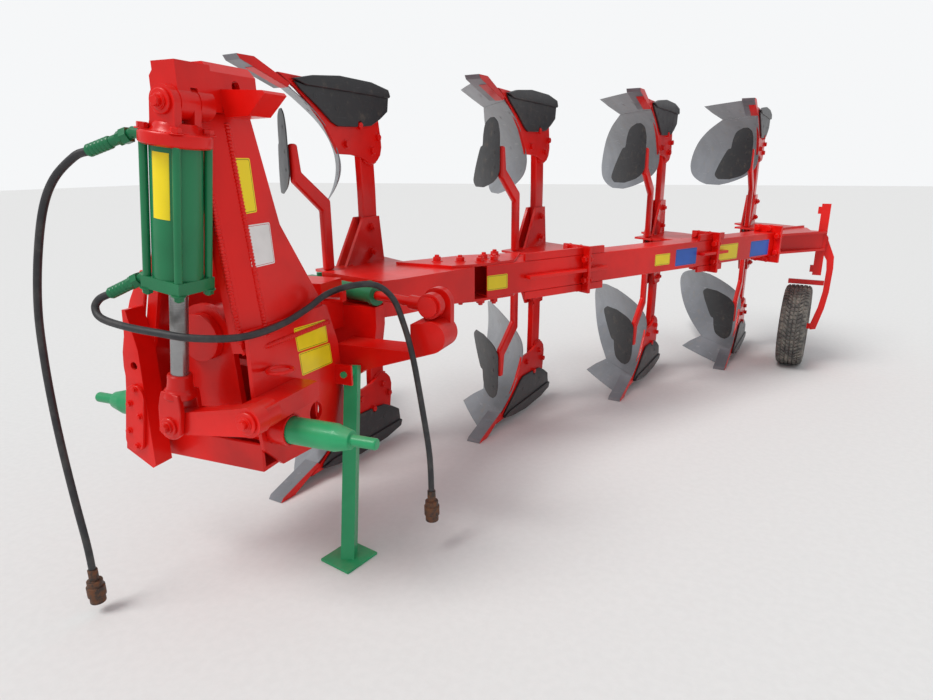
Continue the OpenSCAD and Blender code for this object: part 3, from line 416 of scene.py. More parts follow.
# For each finish, the nodes by the width of their rounded edges, in millimetres
EDGES = [
    (red_paint, 0, "cheek_right"),
    (red_paint, 2, "valve_cover turnover_shaft beam_stiffeners wheel_rim"),
    (red_paint, 3, "cheek_left bearing_housing cross_box valve_box hose_holder width_rod beam_flanges"),
    (red_paint, 3, "beam_tail body_brackets wheel_scraper"),
    (red_paint, 4, "lever_mount turnover_lever beam_front wheel_arm"),
    (red_paint, 5, "pivot_head"),
    (red_paint, 6, "offset_arm beam_main legs_lower legs_upper"),
    (red_paint, 10, "tower_head skimmer_arms_lower skimmer_arms_upper"),
    (green_paint, 0, "ram_barrel ram_tie_rods"),
    (green_paint, 2, "hose_fitting_upper hose_fitting_lower"),
    (green_paint, 3, "ram_gland width_ram"),
    (light_green_paint, 2, "cross_shaft"),
    (light_green_paint, 3, "stand"),
    (grey_body, 2, "shares_lower shares_upper"),
    (rod_steel, 0, "ram_rod"),
    (coupling_steel, 1.5, "coupling_upper coupling_lower"),
]
for finish, width, names in EDGES:
    for name in names.split():
        dress(name, finish, width * MM)
print("CAD nodes dressed:", sum(len(names.split()) for finish, width, names in EDGES))

# %% [markdown]
# Everything else is built from rings or grids of vertices, so a few helpers do all the joining. A solid
# is a row of rings with walls between them, a slab is an outline given a thickness, a shell is a curved
# sheet, and a turned body is a lathe's profile. Each finished mesh then rides on one CAD body.

# %% Helpers for small solids
def points(mesh, place, places):
    """Vertices at places of some axes, in millimetres."""
    return [mesh.verts.new(place @ (Vector(p) * MM)) for p in places]


def walls(mesh, rings):
    """Faces between rings of vertices that follow each other."""
    for low, high in zip(rings, rings[1:]):
        for k in range(len(low)):
            n = (k + 1) % len(low)
            mesh.faces.new((low[k], low[n], high[n], high[k]))


def solid(mesh, rings):
    """A closed body: walls between its rings, and a face over each end."""
    walls(mesh, rings)
    mesh.faces.new(rings[0][::-1])
    mesh.faces.new(rings[-1])


def slab(mesh, place, outline, low, high, axis=0):
    """An outline of places in two axes, given a thickness from low to high along the third."""
    solid(mesh, [points(mesh, place, [(*p[:axis], at, *p[axis:]) for p in outline]) for at in (low, high)])


def shell(mesh, grids):
    """A closed sheet of layers, each a grid of vertices."""
    walls(mesh, [g[0] + [row[-1] for row in g[1:-1]] + g[-1][::-1] + [row[0] for row in g[-2:0:-1]]
                 for g in grids[::-1]])
    for grid in (grids[0], grids[-1][::-1]):
        for low, high in zip(grid, grid[1:]):
            for k in range(len(low) - 1):
                mesh.faces.new((low[k], low[k + 1], high[k + 1], high[k]))


def turned(mesh, place, profile, sides=24, spin=0.0):
    """A closed lathe body along local +Z. profile is a list of radius and height, in millimetres."""
    turns = [spin + 2 * math.pi * k / sides for k in range(sides)]
    solid(mesh, [points(mesh, place, [(r * math.cos(a), r * math.sin(a), h) for a in turns])
                 for r, h in profile])


def finish_piece(name, mesh, body, finish, edge=0.0, flat=False):
    """Turns a bmesh into a named object that rides on a CAD body."""
    bmesh.ops.recalc_face_normals(mesh, faces=mesh.faces)
    data = bpy.data.meshes.new(name)
    mesh.to_mesh(data)
    mesh.free()
    data.materials.append(finish)
    made = link(name, data)
    if edge:
        soften(made, edge, 40)
    if not flat:
        data.shade_smooth()
        made.modifiers.new("smooth", "WEIGHTED_NORMAL")
    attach(made, body)
    return made


print("helpers for solids are ready")

# %% [markdown]
# A mouldboard is one pressed sheet that twists as it rises, so that it lifts the soil and rolls it over.
# How far back a place on it lies is a formula of its height and its distance from the land side. The CAD
# model makes flat facets from that formula. Here it is sampled finely, between outline rows that a smooth
# curve joins, and eased back a little so that the sheet rests on the frog's edge.

# %% Curved sheets
BOARD_ROWS = [(95, -3, -270), (150, -3, -400), (220, -3, -505), (300, -3, -570), (380, -3, -598),
              (440, -25, -592), (490, -90, -555), (530, -190, -480), (552, -280, -400)]
SKIMMER_ROWS = [(165, -55, -86), (190, -25, -132), (240, -10, -152), (292, -8, -160), (304, -8, -184),
                (380, -8, -228), (430, -14, -252), (472, -60, -264), (500, -150, -236)]
BOARD_THICK = 8
SKIMMER_THICK = 7
ACROSS = 22
UP = 34
BOARD_SEAT = 36


def board_back(x, z):
    """How far behind the share point the mouldboard lies, in millimetres: from the share it curves
    back until it rests on the frog's edge."""
    seat = BOARD_SEAT * (1 - math.exp(-max(z - 95, 0) / 80))
    return 70 + 2.1 * z - 0.00275 * z * z + 0.95 * abs(x) + 0.00035 * x * x + seat


def skimmer_back(x, z):
    """The same for the small skimmer board ahead of it."""
    return 205 + 0.6 * abs(x) + 0.0006 * x * x


def smooth_row(rows, share):
    """The outline row at a share of the way up, by a curve through the given rows."""
    at = min(share * (len(rows) - 1), len(rows) - 1 - 1e-6)
    i, t = int(at), at - int(at)
    a, b, c, d = (rows[min(max(i + k, 0), len(rows) - 1)] for k in (-1, 0, 1, 2))
    return [0.5 * (2 * q + (r - p) * t + (2 * p - 5 * q + 4 * r - s) * t * t
                   + (3 * q - p - 3 * r + s) * t ** 3) for p, q, r, s in zip(a, b, c, d)]


def add_sheet(mesh, place, rows, back, thick):
    """A closed curved sheet in one body's axes."""
    outline = [smooth_row(rows, j / UP) for j in range(UP + 1)]
    shell(mesh, [[points(mesh, place, [(x, back(x, z) + depth, z) for x in
                                       (land + (tail - land) * k / ACROSS for k in range(ACROSS + 1))])
                  for z, land, tail in outline] for depth in (0, thick)])


for side, places in bodies.items():
    boards, skimmers = bmesh.new(), bmesh.new()
    for place in places:
        add_sheet(boards, place, BOARD_ROWS, board_back, BOARD_THICK)
        add_sheet(skimmers, place, SKIMMER_ROWS, skimmer_back, SKIMMER_THICK)
    made = finish_piece(f"board_sheets_{side}", boards, "frame", grey_body, 0.002)
    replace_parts(made, f"mouldboards_{side}")
    made = finish_piece(f"skimmer_sheets_{side}", skimmers, "frame", black_body, 0.002)
    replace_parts(made, f"skimmers_{side}")

# %% [markdown]
# The frog is the flame-cut plate at the foot of each leg that the mouldboard, the share and the landside
# are bolted to. Its front edge follows the board, and a rounded ear behind the leg takes two bolts. The
# landside slides along the furrow's wall: a black plate with a cut for one bolt, and a thicker shoe along
# its lower edge with a fold line between them. All of them are outlines given a thickness.

# %% Frogs and landsides
FROG_RIGHT = -2.7
FROG_THICK = 16
LAND_THICK = 12
SHOE_THICK = 21
PLATE_GAP = 0.3
FROG_OUTLINE = [(190, 40), (282, 92), (358, 150), (432, 220), (486, 300), (508, 338), (600, 341), (655, 350),
                (688, 362), (715, 376), (745, 380), (778, 368), (804, 342), (816, 305), (812, 262),
                (800, 190), (800, 60)]
LAND_OUTLINE = [(262, 66), (292, 92), (389, 153), (468, 210), (505, 225), (636, 222), (641, 202), (653, 196),
                (665, 202), (668, 220), (734, 213), (800, 182), (858, 146), (868, 82), (320, 74)]
SHOE_OUTLINE = [(252, 58), (320, 77), (866, 86), (873, 78), (860, 50), (736, 28), (524, 22), (362, 36)]


for side, places in bodies.items():
    frogs, lands = bmesh.new(), bmesh.new()
    for place in places:
        slab(frogs, place, FROG_OUTLINE, FROG_RIGHT - FROG_THICK, FROG_RIGHT)
        for outline, thick in ((LAND_OUTLINE, LAND_THICK), (SHOE_OUTLINE, SHOE_THICK)):
            slab(lands, place, outline, FROG_RIGHT + PLATE_GAP, FROG_RIGHT + PLATE_GAP + thick)
    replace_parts(finish_piece(f"frog_plates_{side}", frogs, "frame", red_paint, 0.003),
                f"frogs_{side}")
    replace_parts(finish_piece(f"landside_plates_{side}", lands, "frame", black_body, 0.004),
                f"landsides_{side}")

# %% [markdown]
# Each share is a flat blade with a bar that ends in the chisel point. Both stay the CAD model's own. The
# red paint runs over the bar's land edge, so a thin red skin lies on that side. On the upper bodies,
# which haven't worked yet, it covers the bar's upper face as well.

# %% Shares and their painted land edge
BAR_FACE = -3.0
BAR_SIDE = [(1, 1), (14, 17), (236, 91), (250, 76), (80, 1)]
BAR_TOP = [(-43.5, 70, 36.8), (-43.5, 234, 91.4), (-1.8, 234, 91.4), (-1.8, 70, 36.8)]
BAR_UP = Vector((0, -0.316, 0.949))
SKIN = 1.2
for side, places in bodies.items():
    skins = bmesh.new()
    for place in places:
        slab(skins, place, BAR_SIDE, BAR_FACE, BAR_FACE + SKIN)
        if side == "upper":
            solid(skins, [points(skins, place, [Vector(p) + rise for p in BAR_TOP])
                          for rise in (BAR_UP * 0, BAR_UP * SKIN)])
    finish_piece(f"share_paint_{side}", skins, "frame", red_paint, flat=True)
print("share edges painted")

# %% [markdown]
# Bolts hold the wearing parts, the brackets and the beam's flanges. A real one is a washer, a hexagon
# head with its corners turned off, and a little of the thread past the nut. Every group of bolts of one
# finish on one body grows into a single mesh.

# %% Bolts
def facing(place, at, normal):
    """A matrix at a place of some axes, in millimetres, with its +Z along the normal there."""
    turn = Vector(normal).to_track_quat("Z", "Y").to_matrix().to_4x4()
    return place @ Matrix.Translation(Vector(at) * MM) @ turn


def bolt(mesh, at_matrix, size=24, thread=0, spin=0.3):
    """Washer, hexagon head across its flats, and a stub of thread."""
    half = size / 2
    corner = half / math.cos(math.pi / 6)
    turned(mesh, at_matrix, [(half * 1.55, -0.5), (half * 1.55, 2.0), (half * 1.45, 2.8)], 24)
    turned(mesh, at_matrix, [(corner * 0.97, 2.5), (corner, 3.5), (corner, size * 0.55),
                             (corner * 0.90, size * 0.62)], 6, spin)
    if thread:
        turned(mesh, at_matrix, [(size * 0.31, 3), (size * 0.31, thread - 2), (size * 0.26, thread)], 16)


def button(mesh, at_matrix, radius=11):
    """The nearly flush head of a plough bolt, with its shallow square socket left as a dimple."""
    turned(mesh, at_matrix, [(radius, -0.6), (radius, 0.5), (radius * 0.86, 1.1), (radius * 0.45, 1.1),
                             (radius * 0.38, 0.5)], 20)


finishes = {"red_paint": red_paint, "green_paint": green_paint, "grey_body": grey_body,
            "black_body": black_body}
groups = {}


def group(body, slot):
    """One growing mesh for each body and finish."""
    if (body, slot) not in groups:
        groups[body, slot] = bmesh.new()
    return groups[body, slot]


print("bolt helpers are ready")

# %% [markdown]
# The wearing parts sit on their frogs with countersunk plough bolts, nearly flush so that soil slides over
# them. Their normals come from the same surface formula. The frogs themselves and the brackets carry
# plain hexagon bolts on the land side.

# %% Bolts of the bodies
LANDSIDE_FACE = 9.6
BRACKET_FACE = -4.7
LANDSIDE_BUTTONS = [(372, 112), (500, 150), (730, 148)]
FROG_BOLTS = [(738, 322), (782, 262), (653, 216), (560, 296)]
BRACKET_BOLTS = [(708, 1120), (703, 1006), (548, 941)]
BOARD_BUTTONS = [(-34, 140), (-34, 230), (-34, 330), (-60, 420), (-150, 150), (-170, 300)]
SHARE_BUTTONS = [(-125, 52), (-205, 52)]
SKIMMER_BUTTONS = [(-50, 330), (-50, 400), (-52, 235)]
BAR_BUTTONS = [(92, 44), (158, 66)]
BAR_MIDDLE = -41
BAR_UNDER = [(128, 23), (172, 42), (214, 60)]
UNDER_FACE = (0, 0.404, -0.915)


def board_normal(x):
    """The mouldboard's outward direction at a place, from the slopes of its formula."""
    def normal(z):
        return (-(0.95 + 0.0007 * abs(x)), -1.0, 2.1 - 0.0055 * z)
    return normal


for place in all_bodies:
    grey, red, black = (group("frame", slot) for slot in ("grey_body", "red_paint", "black_body"))
    for y, z in LANDSIDE_BUTTONS:
        button(black, facing(place, (LANDSIDE_FACE, y, z), (1, 0, 0)), 12)
    for y, z in FROG_BOLTS:
        bolt(red, facing(place, (FROG_RIGHT, y, z), (1, 0, 0)), 27, spin=y)
    for y, z in BRACKET_BOLTS:
        bolt(red, facing(place, (BRACKET_FACE, y, z), (1, 0, 0)), 30, thread=26, spin=z)
    for x, z in BOARD_BUTTONS + SHARE_BUTTONS:
        button(grey, facing(place, (x, board_back(x, z), z), board_normal(x)(z)), 10)
    for x, z in SKIMMER_BUTTONS:
        button(black, facing(place, (x, skimmer_back(x, z), z), (-0.65, -1, 0)), 9)
    for y, z in BAR_BUTTONS:
        button(grey, facing(place, (BAR_MIDDLE, y, z), BAR_UP), 12)
    for y, z in BAR_UNDER:
        bolt(red, facing(place, (BAR_MIDDLE, y, z), UNDER_FACE), 22, thread=18, spin=y)

# %% [markdown]
# The beam is bolted together at three flanges, so that a fifth body could be added behind. Heads lie on
# the front faces, nuts with their threads on the rear ones. The cap plate on the front box has its own
# row of big bolts, which carry the width linkage.

# %% Bolts of the beam
BEAM_TURN = YAW + math.atan(FURROW / BODY_GAP)
BEAM_REFERENCE = Vector((0.780, 1.674, MID_HEIGHT))
BEAM_HALF = 73
FLANGE_PLACES = [0, 1045, 1692]
FLANGE_THICK = 18
FLANGE_OUT = BEAM_HALF + 23
FLANGE_BOLTS = [(-38, FLANGE_OUT), (38, FLANGE_OUT), (FLANGE_OUT, 52), (FLANGE_OUT, -52),
                (-38, -FLANGE_OUT), (38, -FLANGE_OUT)]
CAP_BOLTS = [(-660, -40), (-590, 20), (-520, -50), (-520, 30), (-420, -100), (-740, -110)]
CAP_TOP = BEAM_HALF + 12
beam_place = TO_FRAME @ Matrix.Translation(BEAM_REFERENCE) @ Matrix.Rotation(-BEAM_TURN, 4, "Z")
red = group("frame", "red_paint")
for along in FLANGE_PLACES:
    for out, height in FLANGE_BOLTS:
        bolt(red, facing(beam_place, (out, along, height), (0, -1, 0)), 30, spin=out)
        bolt(red, facing(beam_place, (out, along + FLANGE_THICK, height), (0, 1, 0)), 30, 32, height)
for along, out in CAP_BOLTS:
    for way, spin in ((1, along), (-1, out)):
        bolt(red, facing(beam_place, (out, along, CAP_TOP * way), (0, 0, way)), 34, 30, spin)
print("beam bolts:", 2 * len(FLANGE_PLACES) * len(FLANGE_BOLTS) + 2 * len(CAP_BOLTS))

# %% [markdown]
# The turnover ram pushes a lever through three round pins. Each has a wide keeper disk on the front with
# one bolt in its middle. The ram's four tie rods end in nuts over its head and under its gland. The ram
# leans, so its pieces are placed in its own axes, from the trunnion pin down.

# %% Pins and nuts of the turnover ram
TRUNNION = (125, -165, 1563)
CLEVIS = (-15, -165, 652)
BOSS = (263, -165, 696)
RAM_LEAN = math.atan2(TRUNNION[0] - CLEVIS[0], TRUNNION[2] - CLEVIS[2])
PIN_RADIUS = 16.6
TIE_OFFSET = 56
HEAD_TOP = -73
GLAND_LOW = -497.2
ram_place = TO_FRAME @ Matrix.Translation(Vector(TRUNNION) * MM) @ Matrix.Rotation(RAM_LEAN, 4, "Y")


def keeper_pin(mesh, centre, front, back, disk):
    """A pin along Y with a keeper disk and a bolt at its front end."""
    start = facing(TO_FRAME, (centre[0], front, centre[2]), (0, -1, 0))
    turned(mesh, start, [(PIN_RADIUS, front - back), (PIN_RADIUS, 0)], 32)
    turned(mesh, start, [(disk, 0), (disk, 6), (disk - 2, 8)], 40)
    turned(mesh, start, [(disk * 0.66, 8), (disk * 0.66, 10.5), (disk * 0.60, 11.5)], 32)
    bolt(mesh, facing(TO_FRAME, (centre[0], front - 11.5, centre[2]), (0, -1, 0)), 24)


headstock_red = group("headstock", "red_paint")
keeper_pin(headstock_red, TRUNNION, -211.5, -117, 32)
keeper_pin(headstock_red, BOSS, -189.4, -125, 34)
keeper_pin(group("ram_rod", "red_paint"), CLEVIS, -209.5, -119, 29)
for x in (-TIE_OFFSET, TIE_OFFSET):
    for y in (-TIE_OFFSET, TIE_OFFSET):
        bolt(group("ram_barrel", "red_paint"), facing(ram_place, (x, y, HEAD_TOP + 0.2), (0, 0, 1)), 26, 0, x)
        bolt(group("ram_barrel", "green_paint"), facing(ram_place, (x, y, GLAND_LOW), (0, 0, -1)), 26, 20, y)
print("ram pins and nuts are in place")

# %% [markdown]
# The ram's head and its clevis are castings. The head is a round flange over the tie rods, with a flared
# neck and two ears, and the clevis is a fork that narrows to a collar on the rod. A lathe makes the round
# parts, and an outline of arcs, given a thickness, makes each ear.

# %% Castings of the turnover ram
HEAD_PROFILE = [(87, -107.8), (93, -102.8), (93, -79), (88, -73), (66, -72), (60, -66), (57, -56), (52, -49)]
HEAD_EAR = (22.3, 46.3)
FORK_PROFILE = [(46, 85), (49, 90), (47, 104), (42, 110), (37, 116), (38, 122), (36, 130), (36, 154),
                (33, 160)]
FORK_EAR = (24.3, 44.3)
FORK_SIDE = [(43, 52), (38, 86), (32, 108), (-32, 108), (-38, 86), (-43, 52)]
RAM_LENGTH = math.hypot(TRUNNION[0] - CLEVIS[0], TRUNNION[2] - CLEVIS[2])
fork_place = ram_place @ Matrix.Translation((0, 0, -RAM_LENGTH * MM))


def arc(radius, start, end, steps, middle=(0, 0)):
    """Places on an arc, angles in degrees."""
    turns = [math.radians(start + (end - start) * k / steps) for k in range(steps + 1)]
    return [(middle[0] + radius * math.cos(a), middle[1] + radius * math.sin(a)) for a in turns]


ear = [(-60, HEAD_TOP)] + arc(34, -60, -8, 6, (-76, -44)) + arc(42, 186, -6, 28)
ear += arc(34, 188, 240, 6, (76, -44)) + [(60, HEAD_TOP)]
fork = arc(44, 204, 336, 24) + FORK_SIDE
head, clevis = bmesh.new(), bmesh.new()
turned(head, ram_place, HEAD_PROFILE, 64)
turned(clevis, fork_place, FORK_PROFILE, 48)
for mesh, place, outline, depths in ((head, ram_place, ear, HEAD_EAR), (clevis, fork_place, fork, FORK_EAR)):
    slab(mesh, place, outline, -depths[1], -depths[0], axis=1)
    slab(mesh, place, outline, *depths, axis=1)
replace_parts(finish_piece("ram_head_cast", head, "ram_barrel", red_paint, 0.003), "ram_head")
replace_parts(finish_piece("clevis_cast", clevis, "ram_rod", red_paint, 0.004), "ram_clevis")
print("castings of the ram are in place")

# %% [markdown]
# The left cheek's front edge is bent outwards into a broad flare that stiffens it beside the ram. It is
# one plate of the cheek's own thickness, with its outer edge a gentle arch.

# %% Flare of the left cheek
FLARE_FRONT, FLARE_BACK = -85.5, -71.5
FLARE_OUTLINE = [(-155, 1095), (-184, 1098), (-247, 1000), (-280, 925), (-302, 866), (-316, 820), (-322, 770),
                 (-319, 700), (-306, 650), (-222, 640), (-222, 868), (-184, 1000)]
flare = bmesh.new()
slab(flare, TO_FRAME, FLARE_OUTLINE, FLARE_FRONT, FLARE_BACK, axis=1)
finish_piece("cheek_flare", flare, "headstock", red_paint, 0.004)
print("flare, metres wide:", round((FLARE_OUTLINE[0][0] - min(x for x, z in FLARE_OUTLINE)) * MM, 3))

# %% [markdown]
# Thick plates are joined by weld beads, and paint hides none of their ripples. A bead is an eight-sided
# tube along a line of places. Its thickness rises and falls with every drop of the weld, with a little
# chance in it, seeded so that each run makes the same bead.

# %% Weld beads
LEG_FOOT = (201, 0, 868)
LEG_LEAN = math.radians(6.2)
leg_axes = TO_FRAME @ Matrix.Translation(Vector(LEG_FOOT) * MM) @ Matrix.Rotation(-LEG_LEAN, 4, "Y")
DROP = 10.0
STEP = 1.75
BEAD_SIDES = 8
THINNEST, RIPPLE, UNEVEN = 0.78, 0.42, 0.06
chance = random.Random(7)


def bead(mesh, place, path, radius):
    """A weld bead through places in millimetres."""
    line = [place @ (Vector(p) * MM) for p in path]
    rings = []
    travelled = 0.0
    for start, end in zip(line, line[1:]):
        run = end - start
        side = run.normalized().orthogonal()
        other = run.normalized().cross(side)
        steps = max(2, int(run.length / MM / STEP))
        for k in range(steps):
            at = start.lerp(end, k / (steps - 1))
            phase = (travelled + run.length / MM * k / (steps - 1)) / DROP
            swell = THINNEST + RIPPLE * abs(math.sin(math.pi * phase)) + chance.uniform(-UNEVEN, UNEVEN)
            size = radius * swell * MM
            rings.append([mesh.verts.new(at + (side * math.cos(a) + other * math.sin(a)) * size)
                          for a in (2 * math.pi * j / BEAD_SIDES for j in range(BEAD_SIDES))])
        travelled += run.length / MM
    solid(mesh, rings)


tower_beads = bmesh.new()
bead(tower_beads, leg_axes, [(5, 3, 30), (5, 3, 655)], 5.5)
bead(tower_beads, leg_axes, [(-21, -83, 30), (-21, -83, 640)], 5.5)
bead(tower_beads, leg_axes, [(6, 336, 3), (6, 6, 3), (-19, -84, 3)], 6)
finish_piece("tower_welds", tower_beads, "headstock", red_paint)
frog_beads = bmesh.new()
FROG_WELD = [(-17.5, y, z + 2) for y, z in FROG_OUTLINE if 680 < y < 780 and z > 355]
for place in all_bodies:
    bead(frog_beads, place, FROG_WELD, 4.5)
finish_piece("frog_welds", frog_beads, "frame", red_paint)
print("weld beads laid")

# %% [markdown]
# The cover of the valve box is held by five small bolts. The fittings where the hoses leave the ram are a
# hexagon nut, an elbow and a crimped sleeve with rings pressed into it.

# %% Valve cover bolts and hose sleeves
COVER_TURN = math.radians(12)
COVER_FOOT = (-229, -164.2, 552)
COVER_BOLTS = [(0, 184), (-20, 128), (22, 96), (-20, 30), (14, -14)]
cover_place = TO_FRAME @ Matrix.Translation(Vector(COVER_FOOT) * MM) @ Matrix.Rotation(COVER_TURN, 4, "Y")
for across, up in COVER_BOLTS:
    bolt(headstock_red, facing(cover_place, (across, 0, up), (0, -1, 0)), 15, spin=up)
SLEEVES = [((16, -210, 1490), (-122, -246, 1444)), ((-42, -195, 1103), (-150, -228, 1052))]
SLEEVE_NUT = [(22, 14), (22, 34), (20.5, 36)]
SLEEVE_NECK = [(19, 36), (19, 48), (17, 50)]
CRIMP_LENGTH, CRIMP_COUNT, CRIMP_PITCH = 78, 6, 12
sleeve_green = group("ram_barrel", "green_paint")
for start, end in SLEEVES:
    run = Vector(end) - Vector(start)
    base = facing(TO_FRAME, start, run)
    turned(sleeve_green, base, SLEEVE_NUT, 6)
    turned(sleeve_green, base, SLEEVE_NECK, 6, 0.5)
    foot = run.length - CRIMP_LENGTH
    crimp = [(15.5, foot)]
    for k in range(CRIMP_COUNT):
        low = foot + 4 + k * CRIMP_PITCH
        crimp += [(17.2, low), (17.2, low + 7), (15.6, low + 9)]
    turned(sleeve_green, base, crimp, 24)
print("sleeves crimped:", len(SLEEVES))

# %% [markdown]
# Blank vinyl stickers mark the tower, the ram and the beam. A sticker is a thin sheet with rounded
# corners and a printed line round its edge. It is drawn flat, and then laid over four corners of the
# surface it sticks to, so it lies true on a leaning plate.

# %% Stickers
STICKER_LIFT = 0.35
STICKER_STEPS = 5
CORNER = 6.0
# The printed line's outer and inner edge: how far in from the sheet's edge, and its corner's radius
LINE_LOOPS = [(3.5, CORNER * 0.7), (4.9, CORNER * 0.6)]
vinyl = dict(coat=0.2, dust=0.10, peel=0.02)
yellow_vinyl = painted("yellow_vinyl", rgb(246, 216, 22), gloss=0.34, **vinyl)
blue_vinyl = painted("blue_vinyl", rgb(30, 92, 190), gloss=0.34, **vinyl)
white_vinyl = painted("white_vinyl", rgb(232, 228, 226), gloss=0.34, **vinyl)
printed_line = painted("printed_line", rgb(52, 46, 30), gloss=0.4, coat=0.2, dust=0.2, peel=0.02)
printed_red = painted("printed_red", rgb(196, 24, 24), gloss=0.36, coat=0.3, dust=0.2, peel=0.02)


def rounded_loop(wide, high, inset, corner):
    """A closed loop of places on a wide by high rectangle, inset from its edge, with round corners."""
    left, right, top = inset + corner, wide - inset - corner, high - inset - corner
    middles = [(right, top), (left, top), (left, left), (right, left)]
    return [p for i, middle in enumerate(middles)
            for p in arc(corner, 90 * i, 90 * i + 90, STICKER_STEPS, middle)]


def sticker(sheets, lines, place, corners):
    """A sheet over corners given lower left, lower right, upper right and upper left as seen, with a
    printed frame line just proud of it."""
    low_left, low_right, top_right, top_left = (Vector(c) for c in corners)
    wide = (low_right - low_left).length
    high = (top_left - low_left).length
    normal = (low_right - low_left).cross(top_left - low_left).normalized()

    def loop(mesh, inset, lift, corner):
        """The rounded loop, laid over the four corners."""
        laid = []
        for x, y in rounded_loop(wide, high, inset, corner):
            low, top = low_left.lerp(low_right, x / wide), top_left.lerp(top_right, x / wide)
            laid.append(low.lerp(top, y / high) + normal * lift)
        return points(mesh, place, laid)
    solid(sheets, [loop(sheets, 0, -0.3, CORNER), loop(sheets, 0, STICKER_LIFT - 0.1, CORNER),
                   loop(sheets, 0.4, STICKER_LIFT, CORNER)])
    upper, lower = ([loop(lines, inset, lift, corner) for inset, corner in LINE_LOOPS]
                    for lift in (STICKER_LIFT + 0.05, STICKER_LIFT - 0.1))
    walls(lines, [*upper, *lower[::-1], upper[0]])


LEG_FACE = 7
CHEEK_FACE = 208
LEG_YELLOW = [[(LEG_FACE, y, s) for y, s in ((-1, 400.6), (62, 403.7), (72, 560.5), (4, 560.5))]]
LEG_WHITE = [[(LEG_FACE, y, s) for y, s in ((-6, 242.7), (102, 243.6), (110, 369.4), (3, 368.4))]]
CHEEK_YELLOW = [[(CHEEK_FACE, y, z) for y, z in ((144, 811), (319, 800), (310, 884), (132, 894))],
                [(CHEEK_FACE, y, z) for y, z in ((157, 723), (338, 717), (328, 794), (147, 804))]]


def along_beam(s_low, s_high, z_low, z_high):
    """A rectangle on the beam's near side, from places along it and heights."""
    mid = MID_HEIGHT / MM
    return [(BEAM_HALF, s, z - mid) for s, z in ((s_low, z_low), (s_high, z_low), (s_high, z_high),
                                               (s_low, z_high))]


BEAM_YELLOW = [along_beam(-590, -474, 852, 920), along_beam(548, 672, 858, 920),
               along_beam(1118, 1308, 836, 930)]
BEAM_BLUE = [along_beam(722, 908, 840, 934), along_beam(1442, 1640, 832, 928)]
VINYLS = {"beam_yellow": yellow_vinyl, "beam_blue": blue_vinyl, "beam_lines": printed_line,
          "tower_yellow": yellow_vinyl, "tower_white": white_vinyl, "tower_lines": printed_line,
          "tower_red": printed_red}
# Each row: the sheet's mesh, its frame line's mesh, the axes and the corners of its stickers
LAID = [("beam_yellow", "beam_lines", beam_place, BEAM_YELLOW),
        ("beam_blue", "beam_lines", beam_place, BEAM_BLUE),
        ("tower_yellow", "tower_lines", leg_axes, LEG_YELLOW),
        ("tower_white", "tower_red", leg_axes, LEG_WHITE),
        ("tower_yellow", "tower_lines", TO_FRAME, CHEEK_YELLOW)]
vinyl_meshes = {name: bmesh.new() for name in VINYLS}
for sheets, lines, place, all_corners in LAID:
    for corners in all_corners:
        sticker(vinyl_meshes[sheets], vinyl_meshes[lines], place, corners)
    print(sheets, "stickers:", len(all_corners))

# %% [markdown]
# One sticker is wrapped round the ram's barrel: a curved sheet of narrow strips, in the ram's own axes.

# %% Sticker round the barrel
WRAP_RADII = (67.9, 67.1)
WRAP_FROM, WRAP_TO = math.radians(-103), math.radians(-60)
WRAP_HEIGHTS = (-295, -123)
WRAP_STEPS = 12
wrap = bmesh.new()
turns = [WRAP_FROM + (WRAP_TO - WRAP_FROM) * k / WRAP_STEPS for k in range(WRAP_STEPS + 1)]
shell(wrap, [[points(wrap, ram_place, [(r * math.cos(a), r * math.sin(a), height) for a in turns])
              for height in WRAP_HEIGHTS] for r in WRAP_RADII])
finish_piece("sticker_barrel", wrap, "ram_barrel", yellow_vinyl)
for name, finish in VINYLS.items():
    body = "frame" if name.startswith("beam") else "headstock"
    finish_piece(f"stickers_{name}", vinyl_meshes[name], body, finish, flat=True)
print("stickers laid")

# %% [markdown]
# The depth wheel runs on a road tyre. Its carcass is one revolved profile. The tread is separate blocks
# that follow the crown: two rows of long ones in the middle, two rows of slanted ones beside them and two
# rows on the shoulders, shifted against each other. Cut grooves would need a much finer mesh.

# %% Tyre
HUB = (Matrix.Translation(Vector((2.108, 3.440, 0))) @ TURN
       @ Matrix.Translation(Vector((-0.095, -0.010, 0.285))))
TREAD_COUNT = 62
PITCH = 2 * math.pi / TREAD_COUNT
TREAD_RADIUS = 285
SLANT_WIDTH = 24
BLOCK_STEPS = 2
# Each level of a block: its depth below the crown and how far its sides have moved in
BLOCK_LEVELS = [(0.0, 1.6), (0.8, 0.7), (9.5, 0.0)]
TYRE_SIDES = 120
TYRE_PROFILE = [(195, 60), (197, 74), (205, 82), (216, 83.5), (222, 82.5), (240, 85.5), (255, 84), (266, 79),
                (272.5, 72), (275.5, 60), (276.8, 40), (277, 14)]
CROWN = [(0, 285.0), (22, 284.8), (44, 284.0), (60, 282.4), (70, 279.8), (78, 273.5), (82, 268.0)]
# Each row: its two edges across the crown, its share of a block, its slant and its shift
TREAD_ROWS = [(-80, -56, 0.74, 1.0, 0.0), (-50, -28, 0.80, 4.0, 0.5), (28, 50, 0.80, -4.0, 0.0),
              (56, 80, 0.74, -1.0, 0.5), (-22, -3, 0.93, 1.5, 0.25), (3, 22, 0.93, 1.5, 0.25)]
wheel_axes = TO_FRAME @ HUB @ Matrix.Rotation(math.pi / 2, 4, "Y")


def crown(across):
    """The tread's radius at a distance from the middle of the tyre."""
    at = abs(across)
    for (a, ra), (b, rb) in zip(CROWN, CROWN[1:]):
        if at <= b:
            return ra + (rb - ra) * (at - a) / (b - a)
    return CROWN[-1][1]


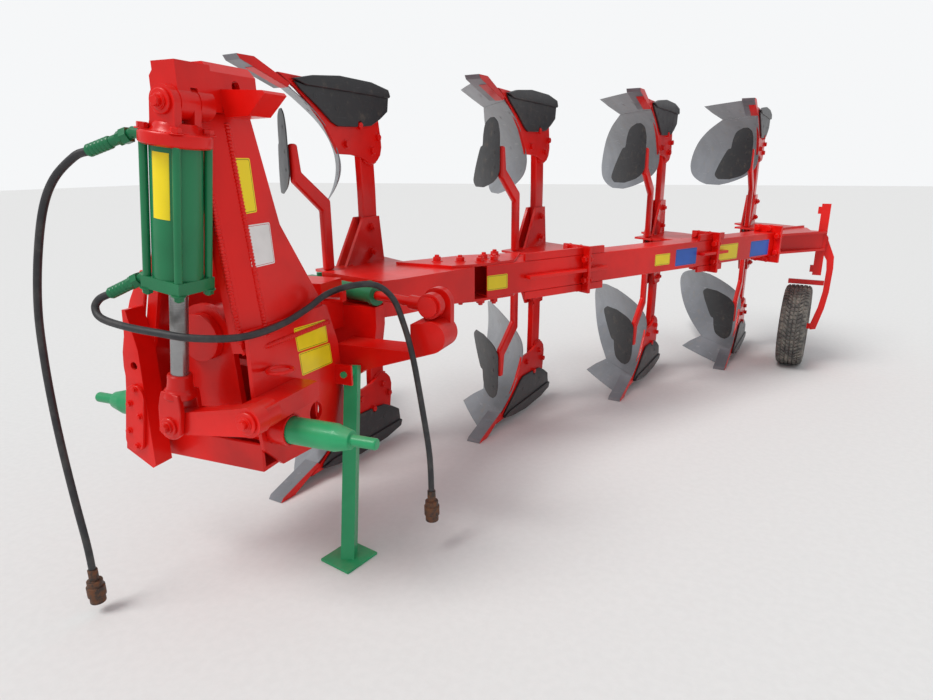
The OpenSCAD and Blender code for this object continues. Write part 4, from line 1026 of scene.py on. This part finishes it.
def on_tyre(radius, across, turn):
    """A place on the wheel, from its radius, its distance from the middle and its angle."""
    return wheel_axes @ (Vector((radius * math.cos(turn), radius * math.sin(turn), across)) * MM)


def tread_cell(mesh, low, high, start, share, slant):
    """A curved block that takes a share of a pitch from its start on. Its sides slope in a little."""
    middle = (low + high) / 2
    grids = []
    for depth, shrink in BLOCK_LEVELS:
        grids.append([])
        for k in range(BLOCK_STEPS + 1):
            turn = start + PITCH * share * k / BLOCK_STEPS
            turn += ((k == 0) - (k == BLOCK_STEPS)) * shrink / TREAD_RADIUS
            grids[-1].append([mesh.verts.new(on_tyre(crown(w) - depth, w + inward * shrink,
                                                     turn + math.radians(slant * (w - middle) / SLANT_WIDTH)))
                              for w, inward in ((low, 1), (middle, 0), (high, -1))])
    shell(mesh, grids)


carcass = bmesh.new()
outline = TYRE_PROFILE + [(r, -w) for r, w in TYRE_PROFILE[::-1]]
loops = [[carcass.verts.new(on_tyre(r, w, 2 * math.pi * k / TYRE_SIDES)) for k in range(TYRE_SIDES)]
         for r, w in outline]
walls(carcass, loops + [loops[0]])
for low, high, share, slant, shift in TREAD_ROWS:
    for k in range(TREAD_COUNT):
        tread_cell(carcass, low, high, (k + shift) * PITCH, share, slant)
made = finish_piece("tyre_treaded", carcass, "wheel", tyre_rubber)
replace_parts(made, "tyre")
print("tread blocks:", TREAD_COUNT * len(TREAD_ROWS))

# %% [markdown]
# Five bolts, with a head or a nut on either side, hold the wheel's dish. A dust cap closes the hub.

# %% Wheel nuts and cap
WHEEL_NUTS = 5
NUT_CIRCLE = 100
wheel_red = group("wheel", "red_paint")
for k in range(WHEEL_NUTS):
    turn = 2 * math.pi * k / WHEEL_NUTS
    across = (NUT_CIRCLE * math.cos(turn), NUT_CIRCLE * math.sin(turn))
    for height, way in ((7, 1), (-7, -1)):
        bolt(wheel_red, facing(wheel_axes, (*across, height), (0, 0, way)), 22, thread=18, spin=turn)
turned(wheel_red, facing(wheel_axes, (0, 0, -50.2), (0, 0, -1)),
       [(30, 0), (31, 2), (31, 8), (28, 13), (20, 17), (8, 19)], 32)
print("wheel nuts:", 2 * WHEEL_NUTS)

# %% [markdown]
# The groups of bolts, pins and nuts become one piece for each body and finish. They are small and plain,
# so a bevel on their edges costs little and makes each head catch the light.

# %% Join the groups
GROUP_NAMES = {("frame", "red_paint"): "frame_bolts", ("frame", "grey_body"): "board_buttons",
               ("frame", "black_body"): "landside_buttons", ("headstock", "red_paint"): "headstock_pins",
               ("ram_rod", "red_paint"): "clevis_pin", ("ram_barrel", "red_paint"): "ram_head_nuts",
               ("ram_barrel", "green_paint"): "gland_nuts_and_sleeves", ("wheel", "red_paint"): "wheel_nuts"}
for (body, slot), mesh in groups.items():
    finish_piece(GROUP_NAMES[body, slot], mesh, body, finishes[slot], edge=0.0006)
print("groups joined:", len(groups))

# %% [markdown]
# The floor is a plain pale sheet, and camera rays see a soft white world behind it. The light on the
# plough is a weaker world with a large soft sun from the left and above, as under an overcast sky, at a
# level where colours look as written and the red stays deep.

# %% Floor, world and light
FLOOR_HALF = 40.0
floor_mesh = bmesh.new()
floor_mesh.faces.new([floor_mesh.verts.new((x * FLOOR_HALF, y * FLOOR_HALF, -0.0005))
                      for x, y in ((-1, -1), (1, -1), (1, 1), (-1, 1))])
floor = link("floor", bpy.data.meshes.new("floor"))
floor_mesh.to_mesh(floor.data)
floor_mesh.free()
floor_finish, tree, shader = new_finish("floor")
pale = mixed(tree, patches(tree, 0.3, 0.7, 34, 6), rgb(220, 220, 220), rgb(223, 223, 223))
wire(tree, shader, {"Base Color": pale, "Roughness": 0.9, "Specular IOR Level": 0.2,
                    "Normal": bump(tree, noise(tree, 240, 4), 0.12, 0.002)})
floor.data.materials.append(floor_finish)

WORLD_LIGHT = 0.62
SUN_LIGHT = 1.9
world = bpy.data.worlds.new("studio")
bpy.context.scene.world = world
world.use_nodes = True
tree = world.node_tree
tree.nodes.clear()
path = add(tree, "ShaderNodeLightPath")
seen = maths(tree, "MAXIMUM", path.outputs["Is Camera Ray"], path.outputs["Is Transmission Ray"])
soft = add(tree, "ShaderNodeBackground", {"Color": (0.96, 0.98, 1.0, 1.0), "Strength": WORLD_LIGHT})
pale_sky = add(tree, "ShaderNodeBackground", {"Color": (0.92, 0.93, 0.94, 1.0), "Strength": 1.0})
both = add(tree, "ShaderNodeMixShader", {0: seen, 1: soft.outputs[0], 2: pale_sky.outputs[0]})
add(tree, "ShaderNodeOutputWorld", {"Surface": both.outputs[0]})

sun = link("sun", bpy.data.lights.new("sun", "SUN"))
sun.data.energy = SUN_LIGHT
sun.data.angle = math.radians(28)
sun.data.color = (1.0, 0.98, 0.95)
sun.rotation_euler = Vector((0.42, 0.50, -1.0)).to_track_quat("-Z", "Y").to_euler()
print("floor, world and sun are set")

# %% [markdown]
# Last, the colour view is the plain one.

# %% The end
scene = bpy.context.scene
scene.view_settings.view_transform = "Standard"
